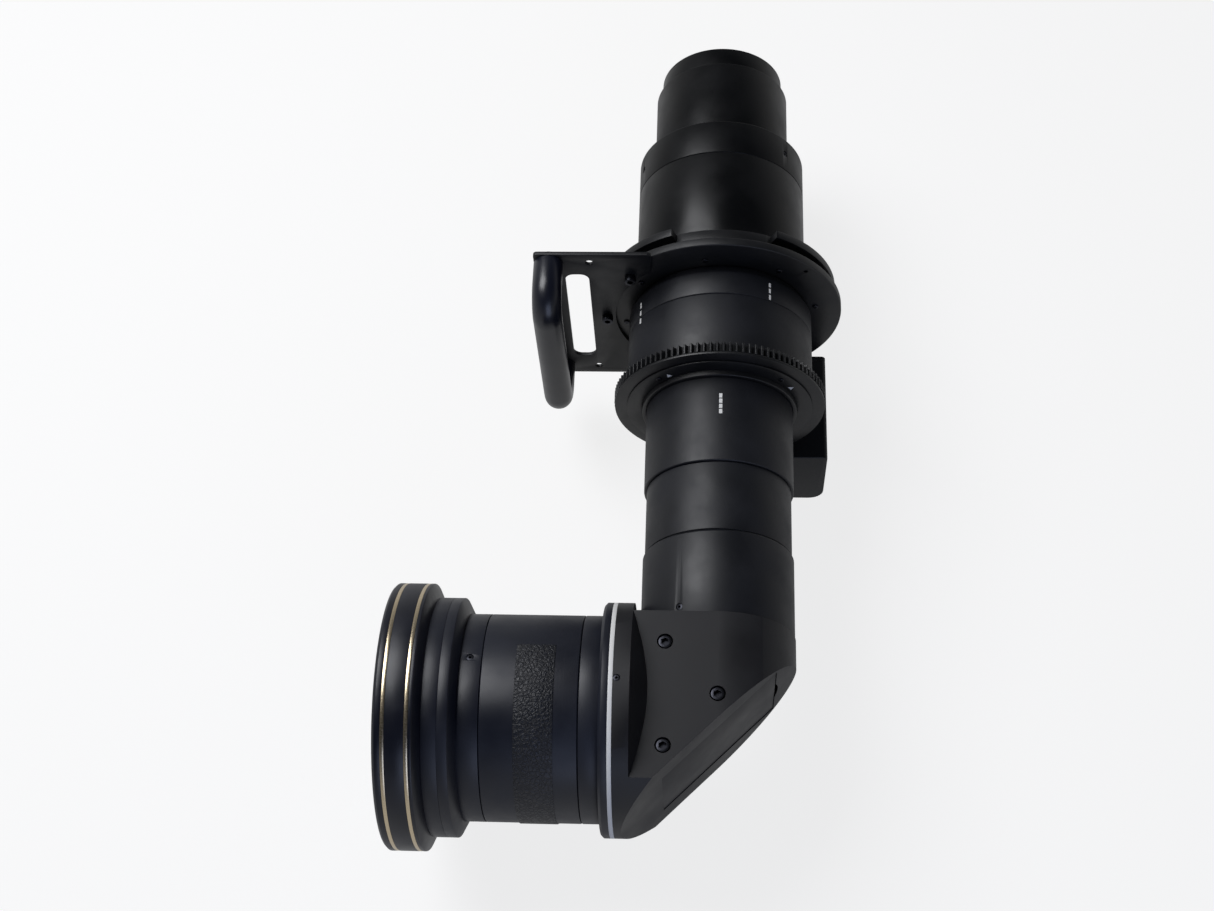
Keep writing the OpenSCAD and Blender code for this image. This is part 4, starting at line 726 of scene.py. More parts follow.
    def build_bayonet(self) -> None:
        """The bayonet: a neck, three lugs and the key segment in the top gap."""
        neck = turned("neck", Barrel.LONG, [(self.seat_r, D.floor), (self.neck_r, D.floor), (self.neck_r, SEAT), (self.seat_r, SEAT)])
        break_edges(neck, 0.4)
        lugs = []
        for k in range(3):
            start = self.gap_at + self.gap / 2 + 120 * k
            lug = turned(f"lug_{k}", Barrel.LONG, [(self.neck_r - 1, D.lug), (self.lug_r, D.lug), (self.lug_r, SEAT), (self.neck_r - 1, SEAT)], start, 120 - self.gap, 48)
            break_edges(lug, 0.5)
            lugs.append(lug)
        key = turned("key_segment", Barrel.LONG, [(self.neck_r - 1, D.floor), (self.key_r, D.floor), (self.key_r, D.mount + self.key_t), (self.neck_r - 1, D.mount + self.key_t)], self.gap_at - 22.5, 45, 32)
        break_edges(key, 0.5)
        ring = join("bayonet_ring_milled", [neck, *lugs, key])
        fit(ring, Finish.RING, "lens_body", "bayonet_ring", slot="dark_anodised")


@dataclass
class MountDisc:
    """The wide disc that sits against the projector, with its screws."""

    bore: float = 64.0
    land_r: float = 86.0
    radius: float = 93.4
    screw_ring: float = 74.0
    screws: int = 8
    phase: float = -9.2

    def build(self) -> None:
        """Builds the disc and its screws."""
        disc = turned("mount_disc_turned", Barrel.LONG, [(self.bore, D.disc), (self.radius, D.disc), (self.radius, D.mount), (self.bore, D.mount)])
        break_edges(disc, 0.9, 3)
        recess = turned("recess", Barrel.LONG, [(self.bore - 1, D.floor), (self.land_r, D.floor), (self.land_r, D.mount + 1), (self.bore - 1, D.mount + 1)])
        combine(disc, recess, "DIFFERENCE")
        for angle in BOLT_ANGLES:
            low, high = (Barrel.LONG.at(BOLT_RING, D.mount + step, 90 + angle) for step in (-BOLT_SINK, 1.0))
            combine(disc, rod("counterbore", 3.6, low, high), "DIFFERENCE")
        for angle in (47.0, 167.0, 227.0):
            combine(disc, rod("drill", 1.6, Barrel.LONG.at(86.5, D.disc - 1, angle), Barrel.LONG.at(86.5, D.disc + 3, angle), 24), "DIFFERENCE")
        fit(disc, Finish.PLATE, "lens_body", "mount_disc", slot="black_anodised")
        turn = 360 / self.screws
        places = [facing(Barrel.LONG.at(self.screw_ring, D.disc, self.phase + k * turn), Vector((0, -1, 0))) for k in range(self.screws)]
        fit(set_in(PanScrew().build("pan"), "disc_screw_heads", places), Finish.BLACK_STEEL, "lens_body", "disc_screws", slot="bright_steel")


@dataclass
class BowHandle:
    """The bow handle, its plate and its screws."""

    half: float = 84.0
    plate_t: float = 3.0
    reach: float = 139.5
    inner: float = 52.0
    cut_r: float = 81.0
    window_inner: float = 99.3
    window_w: float = 18.0
    window_half: float = 58.0
    grip_r: float = 11.0
    grip_reach: float = 48.0
    bend_r: float = 19.0
    screw_ring: float = 87.5
    screw_step: float = 39.0

    def build(self) -> None:
        """Builds the plate, the bar and the screws that show."""
        self.build_plate()
        self.build_bar()
        top = D.disc - self.plate_t
        places = [facing(Barrel.LONG.at(self.screw_ring, top, -90 + k * self.screw_step), Vector((0, -1, 0))) for k in (-1, 0, 1)]
        fit(set_in(CapScrew(4.25, 5.0, 2.4, 2.5).build("cap"), "plate_screw_heads", places), Finish.BLACK_STEEL, "lens_body", "plate_screws", slot="black_screws")
        places = [facing(Vector(((-self.reach + self.grip_r) * MM, (D.disc - SEAT) * MM, s * (self.half - self.grip_r) * MM)), Vector((0, 1, 0))) for s in (-1, 1)]
        fit(set_in(CapScrew(5.5, 4.0, 2.6, 2.4).build("cap"), "handle_screw_heads", places), Finish.BLACK_STEEL, "lens_body", "handle_screws", slot="black_screws")

    def build_plate(self) -> None:
        """The plate with its window, its small holes and the curve that clears the neck."""
        plate = block("handle_plate_milled", (-self.reach, D.disc - self.plate_t, -self.half), (-self.inner, D.disc, self.half))
        self.round_corners(plate, 3.0)
        window = block("window", (-self.window_inner - self.window_w, D.disc - 10, -self.window_half), (-self.window_inner, D.disc + 10, self.window_half))
        self.round_corners(window, 7.0)
        combine(plate, window, "DIFFERENCE")
        combine(plate, rod("neck_cut", self.cut_r, Barrel.LONG.at(0, D.disc - 10), Barrel.LONG.at(0, D.disc + 10), STEPS), "DIFFERENCE")
        for s in (-1, 1):
            low = Vector((-98 * MM, (D.disc - 10 - SEAT) * MM, s * 73.5 * MM))
            combine(plate, rod("drill", 3.0, low, low + Vector((0, 20 * MM, 0)), 32), "DIFFERENCE")
        break_edges(plate, 0.35)
        fit(plate, Finish.PLATE, "lens_body", "handle_plate", slot="dark_anodised")

    def round_corners(self, piece: bpy.types.Object, radius: float) -> None:
        """Rounds the four edges that run along the barrel."""
        pick(piece)
        bpy.ops.object.mode_set(mode="EDIT")
        bpy.ops.mesh.select_mode(type="EDGE")
        bpy.ops.mesh.select_all(action="DESELECT")
        mesh = bmesh.from_edit_mesh(piece.data)
        for edge in mesh.edges:
            along = (edge.verts[1].co - edge.verts[0].co).normalized()
            edge.select_set(abs(along.y) > 0.99)
        bmesh.update_edit_mesh(piece.data)
        bpy.ops.mesh.bevel(offset=radius * MM, segments=8, affect="EDGES")
        bpy.ops.object.mode_set(mode="OBJECT")

    def build_bar(self) -> None:
        """The round bar: a circle drawn up one leg, spun through a bend, along and down."""
        leg = (self.half - self.grip_r) * MM
        x = (-self.reach + self.grip_r) * MM
        foot = (D.disc - self.plate_t - SEAT) * MM
        bend = (D.disc - self.plate_t - self.grip_reach + self.grip_r + self.bend_r - SEAT) * MM
        clear_selection()
        bpy.ops.mesh.primitive_circle_add(vertices=48, radius=self.grip_r * MM, fill_type="NGON", location=(x, foot, leg), rotation=(math.radians(90), 0, 0))
        bar = settle(bpy.context.object)
        bar.name = "bow_handle_bent"
        pick(bar)
        bpy.ops.object.mode_set(mode="EDIT")
        bpy.ops.mesh.select_mode(type="FACE")
        bpy.ops.mesh.select_all(action="SELECT")
        bpy.ops.mesh.extrude_region_move(TRANSFORM_OT_translate={"value": (0, bend - foot, 0)})
        inner = leg - self.bend_r * MM
        bpy.ops.mesh.spin(steps=14, angle=math.radians(90), center=(x, bend, inner), axis=(-1, 0, 0))
        bpy.ops.mesh.extrude_region_move(TRANSFORM_OT_translate={"value": (0, 0, -2 * inner)})
        bpy.ops.mesh.spin(steps=14, angle=math.radians(90), center=(x, bend, -inner), axis=(-1, 0, 0))
        bpy.ops.mesh.extrude_region_move(TRANSFORM_OT_translate={"value": (0, foot - bend, 0)})
        bpy.ops.object.mode_set(mode="OBJECT")
        face_outwards(bar)
        break_edges(bar, 0.8, 3, 60)
        fit(bar, Finish.HANDLE, "lens_body", "bow_handle", slot="handle_black")


@dataclass
class LongBarrel:
    """The barrels between the elbow and the mount disc, and the marks on them."""

    slim_r: float = 55.0
    middle_r: float = 53.1
    lower_r: float = 54.5
    sleeve_r: float = 58.3
    outer_r: float = 70.2
    outer_bore: float = 66.5
    neck_r: float = 66.0
    step: float = 0.6
    mark_t: float = 0.04

    def build(self) -> None:
        """Builds the barrels, from the elbow to the disc, and their marks."""
        s = self.step
        lower = turned("lower_barrel_turned", Barrel.LONG, [
            (50.5, D.elbow_top), (self.lower_r, D.elbow_top), (self.lower_r, D.lower_top - 2.0), (self.middle_r - s, D.lower_top),
            (48.0, D.lower_top), (48.0, D.lower_top + 9), (45.0, D.lower_top + 9), (45.0, D.lower_top - 5), (50.5, D.lower_top - 5)])
        for k in range(3):
            angle = -29.6 + 120 * k
            combine(lower, rod("drill", 2.5, Barrel.LONG.at(51, D.elbow_top + 6.2, angle), Barrel.LONG.at(56, D.elbow_top + 6.2, angle)), "DIFFERENCE")
        break_edges(lower, 0.25)
        fit(lower, Finish.SLIM_BARREL, "lens_body", "lower_barrel", slot="black_anodised")
        middle = turned("middle_barrel_turned", Barrel.LONG, [
            (48.0, D.lower_top), (self.middle_r - s, D.lower_top), (self.middle_r, D.lower_top + s), (self.middle_r, D.middle_top - s), (self.middle_r - s, D.middle_top),
            (51.0, D.middle_top), (51.0, D.middle_top + 9), (48.0, D.middle_top + 9)])
        break_edges(middle, 0.2)
        fit(middle, Finish.SLIM_BARREL, "lens_body", "middle_barrel", slot="black_anodised")
        slim = turned("slim_barrel_turned", Barrel.LONG, [
            (51.0, D.middle_top), (self.slim_r - s, D.middle_top), (self.slim_r, D.middle_top + s), (self.slim_r, D.lip + 18), (40.0, D.lip + 18), (40.0, D.lip + 13), (51.0, D.lip + 13)])
        break_edges(slim, 0.2)
        fit(slim, Finish.SLIM_BARREL, "lens_body", "slim_barrel", slot="black_anodised")
        outer = turned("outer_barrel_turned", Barrel.LONG, [
            (self.outer_bore, D.outer), (self.outer_r, D.outer), (self.outer_r, D.index - s), (self.outer_r - s, D.index),
            (self.outer_bore, D.index), (self.outer_bore, 277.3), (self.sleeve_r, 277.3), (self.sleeve_r, 272.3), (self.outer_bore, 272.3)])
        break_edges(outer, 0.3)
        fit(outer, Finish.SLIM_BARREL, "lens_body", "outer_barrel", slot="black_anodised")
        collar = turned("index_collar_turned", Barrel.LONG, [
            (self.outer_bore, D.index), (self.outer_r - s, D.index), (self.outer_r, D.index + s), (self.outer_r, D.neck), (self.neck_r, D.neck),
            (self.neck_r, D.disc), (self.sleeve_r, D.disc), (self.sleeve_r, D.neck - 5), (self.outer_bore, D.neck - 5)])
        break_edges(collar, 0.4)
        fit(collar, Finish.SLIM_BARREL, "lens_body", "index_collar", slot="black_anodised")
        self.build_marks()

    def mark(self, name: str, radius: float, angle: float, low: float, high: float, width: float) -> bpy.types.Object:
        """One short engraved and filled dash along the barrel, at an angle from straight up."""
        half = math.degrees(width / 2 / radius)
        return turned(name, Barrel.LONG, [(radius - 0.3, low), (radius + self.mark_t, low), (radius + self.mark_t, high), (radius - 0.3, high)], angle - half, 2 * half, 4)

    def build_marks(self) -> None:
        """The white index dashes on the slim barrel, the collar and the outer barrel."""
        rows = {
            "slim_marks": (self.slim_r, 0.6, [(213.3, 216.9), (217.7, 221.2), (222.0, 225.5), (226.3, 229.9)], 2.3),
            "collar_marks_left": (self.outer_r, -59.0, [(300.9, 305.5), (308.2, 312.2), (314.4, 319.4)], 2.0),
            "collar_marks_right": (self.outer_r, 31.2, [(307.4, 311.6), (313.2, 317.0), (318.4, 322.0)], 1.6),
        }
        for name, (radius, angle, dashes, width) in rows.items():
            made = [self.mark(f"{name}_{i}", radius, angle, low, high, width) for i, (low, high) in enumerate(dashes)]
            fit(join(name, made), Finish.WHITE, "lens_body", slot="white_inlay")


@dataclass
class ZoomRing:
    """The toothed zoom ring with its index disc, on the guide sleeve."""

    sleeve_r: float = 58.3
    module: float = 1.5
    teeth: int = 104
    hub_r: float = 65.2
    index_r: float = 69.9
    index_t: float = 1.4

    def build(self) -> None:
        """Builds the sleeve, the ring, the index disc, its screws and its marks."""
        sleeve = turned("guide_sleeve_turned", Barrel.LONG, [
            (55.0, D.lip), (self.sleeve_r, D.lip), (self.sleeve_r, D.mount), (40.0, D.mount), (40.0, D.disc), (55.0, D.disc)])
        break_edges(sleeve, 0.7, 3)
        fit(sleeve, Finish.RING, "lens_body", "guide_sleeve", slot="dark_anodised")
        self.build_ring()
        index = turned("index_disc_turned", Barrel.LONG, [
            (self.sleeve_r + 0.05, D.rim - self.index_t), (self.index_r, D.rim - self.index_t), (self.index_r, D.rim), (self.sleeve_r + 0.05, D.rim)])
        break_edges(index, 0.4)
        fit(index, Finish.RING, "zoom_drive_ring", "index_disc", slot="dark_anodised")
        places = [facing(Barrel.LONG.at(63.2, D.rim - self.index_t, 45 + 90 * k), Vector((0, -1, 0))) for k in range(4)]
        fit(set_in(PanScrew(2.0, 0.9).build("pan"), "index_screw_heads", places), Finish.BLACK_STEEL, "zoom_drive_ring", "index_screws", slot="bright_steel")
        marks = [self.arrow(f"arrow_{i}", angle) for i, angle in enumerate((-37.1, 57.7))]
        fit(join("index_arrows", marks), Finish.WHITE, "zoom_drive_ring", slot="white_inlay")

    def arrow(self, name: str, angle: float) -> bpy.types.Object:
        """A white triangle on the face of the index disc, pointing outwards."""
        clear_selection()
        bpy.ops.mesh.primitive_cylinder_add(vertices=3, radius=2.5 * MM, depth=0.1 * MM)
        mark = bpy.context.object
        mark.name = name
        base = Barrel.LONG.at(61.9, D.rim - self.index_t, angle)
        outward = (Barrel.LONG.at(1, 0, angle) - Barrel.LONG.at(0, 0, angle)).normalized()
        across = Vector((0, -1, 0)).cross(outward)
        turn = Matrix((across, outward, Vector((0, -1, 0)))).transposed().to_4x4()
        mark.matrix_world = Matrix.Translation(base) @ turn
        return settle(mark)

    def build_ring(self) -> None:
        """The ring: a rim, a hub and a row of teeth, one tooth modelled and copied."""
        pitch = self.module * self.teeth / 2
        root, tip = pitch - 1.25 * self.module, pitch + self.module
        bore = self.sleeve_r + 0.05
        wheel = turned("wheel", Barrel.LONG, [
            (bore, D.rim), (tip - 0.4, D.rim), (tip - 0.4, D.teeth), (root, D.teeth), (root, D.ring_back), (self.hub_r, D.ring_back), (self.hub_r, 272.0), (bore, 272.0)], steps=208)
        break_edges(wheel, 0.3)
        clear_selection()
        bpy.ops.mesh.primitive_cube_add(size=1.0, location=(0, 0, 0.5 * MM), scale=(2.9 * MM, (D.ring_back - D.teeth) * MM, 1.0 * MM))
        tooth = settle(bpy.context.object)
        pick(tooth)
        bpy.ops.object.mode_set(mode="EDIT")
        bpy.ops.mesh.select_mode(type="FACE")
        bpy.ops.mesh.select_all(action="DESELECT")
        mesh = bmesh.from_edit_mesh(tooth.data)
        for face in mesh.faces:
            face.select_set(face.normal.z > 0.9)
        bmesh.update_edit_mesh(tooth.data)
        for rise, share in ((1.0, 0.8), (1.0, 0.74), (0.7, 0.72)):
            bpy.ops.mesh.extrude_region_move(TRANSFORM_OT_translate={"value": (0, 0, rise * MM)})
            bpy.ops.transform.resize(value=(share, 1, 1))
        bpy.ops.object.mode_set(mode="OBJECT")
        break_edges(tooth, 0.18, 1, 40)
        phase = 90 + 60.5
        step = 360 / self.teeth
        middle = (D.teeth + D.ring_back) / 2
        rise = root - 0.35
        low = min(v.co.z for v in tooth.data.vertices)
        top = max(v.co.z for v in tooth.data.vertices)
        lift = Matrix.Translation(Vector((0, (middle - SEAT) * MM, rise * MM - low)))
        stretch = Matrix.Diagonal((1, 1, (tip - rise) * MM / (top - low), 1))
        copies = [copy_of(tooth, f"tooth_{i}", Barrel.LONG.turn(phase + i * step) @ lift @ stretch) for i in range(self.teeth)]
        bpy.data.objects.remove(tooth, do_unlink=True)
        ring = join("zoom_ring_cut", [wheel, *copies])
        fit(ring, Finish.RING, "zoom_drive_ring", "zoom_ring", slot="dark_anodised")


@dataclass
class Elbow:
    """The mitred elbow: flats, shoulder, flange, mirror cover and its screws."""

    half: float = 55.0
    flange_r: float = 80.6
    shoulder: float = 11.0
    mitre: float = 11.9
    cover_len: float = 108.0
    cover_w: float = 70.0
    cover_t: float = 4.0
    cover_shift: float = 9.0
    recess: float = 0.5
    bore: float = 42.0
    screw_x: float = 35.6
    screw_y: float = 36.5

    def build(self) -> None:
        """Builds the housing, the cover and the screws."""
        self.build_housing()
        self.build_cover()
        self.build_screws()

    def mitre_block(self, name: str, low: tuple[float, float, float], high: tuple[float, float, float]) -> bpy.types.Object:
        """A block in the mitre's frame: outwards from the mirror, along the mitre, and Z."""
        clear_selection()
        size = [h - l for l, h in zip(low, high)]
        bpy.ops.mesh.primitive_cube_add(size=1.0, location=[(l + h) / 2 * MM for l, h in zip(low, high)], scale=[s * MM for s in size])
        piece = settle(bpy.context.object)
        piece.name = name
        piece.matrix_world = Matrix.Translation(Vector((0, -SEAT * MM, 0))) @ Matrix.Rotation(math.radians(-45), 4, "Z")
        return settle(piece)

    def build_housing(self) -> None:
        """The housing, from turned and milled stock cut by planes."""
        drum = rod("elbow_housing_milled", self.flange_r, Barrel.FRONT.at(0, 0.0), Barrel.FRONT.at(0, D.flange_back - 0.02), 256)
        bisect(drum, Vector((0, 0, self.half * MM)), Vector((0, 0, 1)))
        bisect(drum, Vector((0, 0, -self.half * MM)), Vector((0, 0, -1)))
        bisect(drum, Vector((0, (D.elbow_top - SEAT) * MM, 0)), Vector((0, 1, 0)))
        upright = rod("upright", self.half, Barrel.LONG.at(0, -self.half), Barrel.LONG.at(0, D.elbow_top), 256)
        combine(drum, upright, "UNION")
        cone = turned("shoulder", Barrel.FRONT, [(0, D.flange_back - self.shoulder), (self.half, D.flange_back - self.shoulder), (self.flange_r, D.flange_back), (0, D.flange_back)], steps=256)
        bisect(cone, Vector((0, (D.elbow_top - SEAT) * MM, 0)), Vector((0, 1, 0)))
        combine(drum, cone, "UNION")
        flange = turned("flange", Barrel.FRONT, [(0, D.flange_back - 0.01), (self.flange_r, D.flange_back - 0.01), (self.flange_r, D.flange), (0, D.flange)], steps=256)
        combine(drum, flange, "UNION")
        out = Vector((1, -1, 0)).normalized()
        bisect(drum, Vector((0, -SEAT * MM, 0)) + out * self.mitre * MM, out)
        half = self.cover_len / 2
        combine(drum, self.mitre_block("cover_seat", (self.mitre - self.recess - self.cover_t, -self.cover_shift - half, -self.cover_w / 2), (self.mitre + 5, -self.cover_shift + half, self.cover_w / 2)), "DIFFERENCE")
        for low, high in ((Barrel.LONG.at(0, 20), Barrel.LONG.at(0, 80)), (Barrel.FRONT.at(0, 20), Barrel.FRONT.at(0, 80))):
            combine(drum, rod("bore", self.bore, low, high, 128), "DIFFERENCE")
        for point, out in self.screw_places():
            combine(drum, rod("counterbore", 5.5, point - out * 6.2 * MM, point + out * 2 * MM, 40), "DIFFERENCE")
        for k in range(4):
            combine(drum, rod("drill", 2.5, Barrel.FRONT.at(77.1, D.flange - 2.6, 90 * k), Barrel.FRONT.at(83, D.flange - 2.6, 90 * k), 32), "DIFFERENCE")
        break_edges(drum, 0.35, 2, 24)
        fit(drum, Finish.ELBOW, "lens_body", "elbow_housing", slot="black_anodised")

    def screw_places(self) -> list[tuple[Vector, Vector]]:
        """Each screw's point on the flats and the way it faces."""
        spots = ((0.0, 0.0), (-self.screw_x, self.screw_y), (-self.screw_x, -self.screw_y))
        return [(Vector((x * MM, (y - SEAT) * MM, side * self.half * MM)), Vector((0, 0, side))) for side in (1, -1) for x, y in spots]

    def build_cover(self) -> None:
        """The mirror's cover plate, let into the mitre face."""
        half = self.cover_len / 2
        gap = 0.12
        cover = self.mitre_block("mirror_cover_milled", (self.mitre - self.recess - self.cover_t, -self.cover_shift - half + gap, -self.cover_w / 2 + gap), (self.mitre - self.recess, -self.cover_shift + half - gap, self.cover_w / 2 - gap))
        break_edges(cover, 0.35)
        fit(cover, Finish.ELBOW, "lens_body", "mirror_cover", slot="black_anodised")

    def build_screws(self) -> None:
        """The socket screws in the flats and the set screws all over the lens."""
        places = [facing(point - out * 6.2 * MM, out) for point, out in self.screw_places()]
        fit(set_in(CapScrew(4.6, 5.5, 2.9, 3.0, 0.5).build("cap"), "elbow_screw_heads", places), Finish.BLACK_STEEL, "lens_body", "elbow_screws", slot="black_screws")
        spots = [(Barrel.LONG, 54.5, D.elbow_top + 6.2, -29.6 + 120 * k) for k in range(3)]
        spots += [(Barrel.LONG, 65.6, D.seam + 15.9, 49.7 + 120 * k) for k in range(3)]
        spots += [(Barrel.FRONT, self.flange_r, D.flange - 2.6, 90.0 * k) for k in range(4)]
        spots += [(Barrel.FRONT, 71.3, D.head + 7.6, 13.9 + 120 * k) for k in range(3)]
        places = []
        for barrel, radius, station, angle in spots:
            seat = barrel.at(radius - 3.5, station, angle)
            places.append(facing(seat, (seat - barrel.at(0, station, angle)).normalized()))
        fit(set_in(CapScrew(2.42, 3.0, 1.1, 1.6, 0.3).build("grub"), "set_screw_sockets", places), Finish.BLACK_STEEL, "lens_body", "set_screws", slot="black_screws")


@dataclass
class FrontBarrel:
    """The front barrel: inlay, flange, focus ring, hood and front glass."""

    flange_r: float = 80.6
    radius: float = 71.3
    core_r: float = 67.0
    core_bore: float = 63.0
    band_from: float = 107.9
    band_w: float = 26.0
    band_edge: float = 23.0
    band_gap: float = 60.0
    hood_r: float = 82.3
    slope_r: float = 74.0
    ring_r: float = 92.0
    front_bore: float = 76.0
    glass_r: float = 82.0
    glass_t: float = 21.0
    glass_curve: float = 205.0
    gold_w: float = 2.6

    def build(self) -> None:
        """Builds every piece in front of the elbow."""
        self.build_flange()
        self.build_barrel()
        self.build_focus()
        self.build_hood()
        self.build_glass()

    def build_flange(self) -> None:
        """The white inlay and the front flange."""
        inlay = turned("inlay_ring_turned", Barrel.FRONT, [(self.flange_r - 2, D.flange), (self.flange_r + 0.02, D.flange), (self.flange_r + 0.02, D.inlay), (self.flange_r - 2, D.inlay)])
        break_edges(inlay, 0.25)
        fit(inlay, Finish.WHITE, "lens_body", "inlay_ring", slot="white_inlay")
        flange = turned("front_flange_turned", Barrel.FRONT, [
            (self.core_bore, D.flange), (self.flange_r - 2, D.flange), (self.flange_r - 2, D.inlay), (self.flange_r, D.inlay), (self.flange_r, D.base - 2), (self.flange_r - 2, D.base), (self.core_bore, D.base)])
        break_edges(flange, 0.25)
        fit(flange, Finish.FRONT_BARREL, "lens_body", "front_flange", slot="black_anodised")

    def build_barrel(self) -> None:
        """The base and head rings on the core."""
        base = turned("front_base_turned", Barrel.FRONT, [(self.core_r, D.base), (self.radius, D.base), (self.radius, D.focus), (self.core_r, D.focus)])
        break_edges(base, 0.6)
        fit(base, Finish.FRONT_BARREL, "lens_body", "front_base", slot="black_anodised")
        head = turned("front_head_turned", Barrel.FRONT, [(self.core_r, D.head), (self.radius, D.head), (self.radius, D.hood), (self.core_r, D.hood)])
        for k in range(3):
            angle = 13.9 + 120 * k
            combine(head, rod("drill", 2.5, Barrel.FRONT.at(67.8, D.head + 7.6, angle), Barrel.FRONT.at(73, D.head + 7.6, angle), 32), "DIFFERENCE")
        break_edges(head, 0.4)
        fit(head, Finish.FRONT_BARREL, "lens_body", "front_head", slot="black_anodised")

    def build_focus(self) -> None:
        """The focus ring and its leather-grain band."""
        ring = turned("focus_ring_turned", Barrel.FRONT, [
            (self.core_r + 0.05, D.focus + 0.4), (self.radius, D.focus + 0.4), (self.radius, D.head - 0.4), (self.core_r + 0.05, D.head - 0.4)])
        break_edges(ring, 0.8, 3)
        fit(ring, Finish.FRONT_BARREL, "focus_grip", "focus_ring", slot="black_anodised")
        band = turned("grip_band_wrapped", Barrel.FRONT, [
            (self.radius + 0.02, self.band_from), (self.radius + 0.6, self.band_from), (self.radius + 0.6, self.band_from + self.band_w), (self.radius + 0.02, self.band_from + self.band_w)],
            self.band_edge + self.band_gap, 360 - self.band_gap, 220)
        break_edges(band, 0.35, 2, 50)
        fit(band, Finish.GRIP, "focus_grip", "grip_band", slot="grip_band")

    def build_hood(self) -> None:
        """The hood collar, the hood ring, the front ring and its gold lines."""
        collar = turned("hood_collar_turned", Barrel.FRONT, [
            (self.core_r, D.hood), (self.slope_r, D.hood), (self.hood_r, D.hood + 4.3), (self.hood_r, D.hood_ring), (self.core_r, D.hood_ring)])
        break_edges(collar, 0.35)
        fit(collar, Finish.FRONT_BARREL, "lens_body", "hood_collar", slot="black_anodised")
        hood = turned("hood_ring_turned", Barrel.FRONT, [
            (self.core_bore, D.hood_ring), (self.hood_r, D.hood_ring), (self.hood_r, D.slope), (self.core_bore, D.slope)])
        break_edges(hood, 0.3)
        fit(hood, Finish.FRONT_BARREL, "lens_body", "hood_ring", slot="black_anodised")
        seat = D.end + 1.2 - self.glass_t
        back = seat + self.glass_t - self.glass_curve + math.sqrt(self.glass_curve**2 - 77.5**2)
        outside: Outline = [(self.front_bore, D.slope), (self.hood_r, D.slope), (self.ring_r, D.front)]
        for middle in (D.end - 22.6, D.end - 7.1):
            low, high = middle - self.gold_w / 2, middle + self.gold_w / 2
            outside += [(self.ring_r, low), (self.ring_r - 1, low), (self.ring_r - 1, high), (self.ring_r, high)]
        ring = turned("front_ring_turned", Barrel.FRONT, [
            *outside, (self.ring_r, D.end - 2), (self.ring_r - 2, D.end), (self.ring_r - 4, D.end), (self.glass_r, back + 3), (self.glass_r, seat), (self.front_bore, seat)])
        break_edges(ring, 0.35)
        fit(ring, Finish.FRONT_RING, "lens_body", "front_ring", slot="black_anodised")
        lines = []
        for middle in (D.end - 22.6, D.end - 7.1):
            low, high = middle - self.gold_w / 2, middle + self.gold_w / 2
            line = turned("line", Barrel.FRONT, [(self.ring_r - 1, low), (self.ring_r - 0.05, low), (self.ring_r - 0.05, high), (self.ring_r - 1, high)])
            break_edges(line, 0.3)
            lines.append(line)
        fit(join("gold_lines", lines), Finish.GOLD, "lens_body", "gold_rings", slot="pale_gold")

    def build_glass(self) -> None:
        """The domed front glass and the ring that holds it."""
        seat = D.end + 1.2 - self.glass_t
        radius = self.glass_r - 0.05
        arc = []
        for i in range(24, -1, -1):
            r = radius * i / 24
            arc.append((r, seat + self.glass_t - self.glass_curve + math.sqrt(self.glass_curve**2 - r * r)))
        glass = turned("front_glass_ground", Barrel.FRONT, [(0.0, seat), (radius, seat), *arc])
        fit(glass, Finish.GLASS, "lens_body", "front_glass", slot="lens_glass")
        back = seat + self.glass_t - self.glass_curve + math.sqrt(self.glass_curve**2 - 77.5**2)
        ring = turned("front_retainer_turned", Barrel.FRONT, [(77.5, back), (radius, back), (radius, back + 3), (79.0, back + 3), (77.5, back + 1.4)])
        break_edges(ring, 0.25)
        fit(ring, Finish.INSIDE, "lens_body", "front_retainer", slot="dark_anodised")


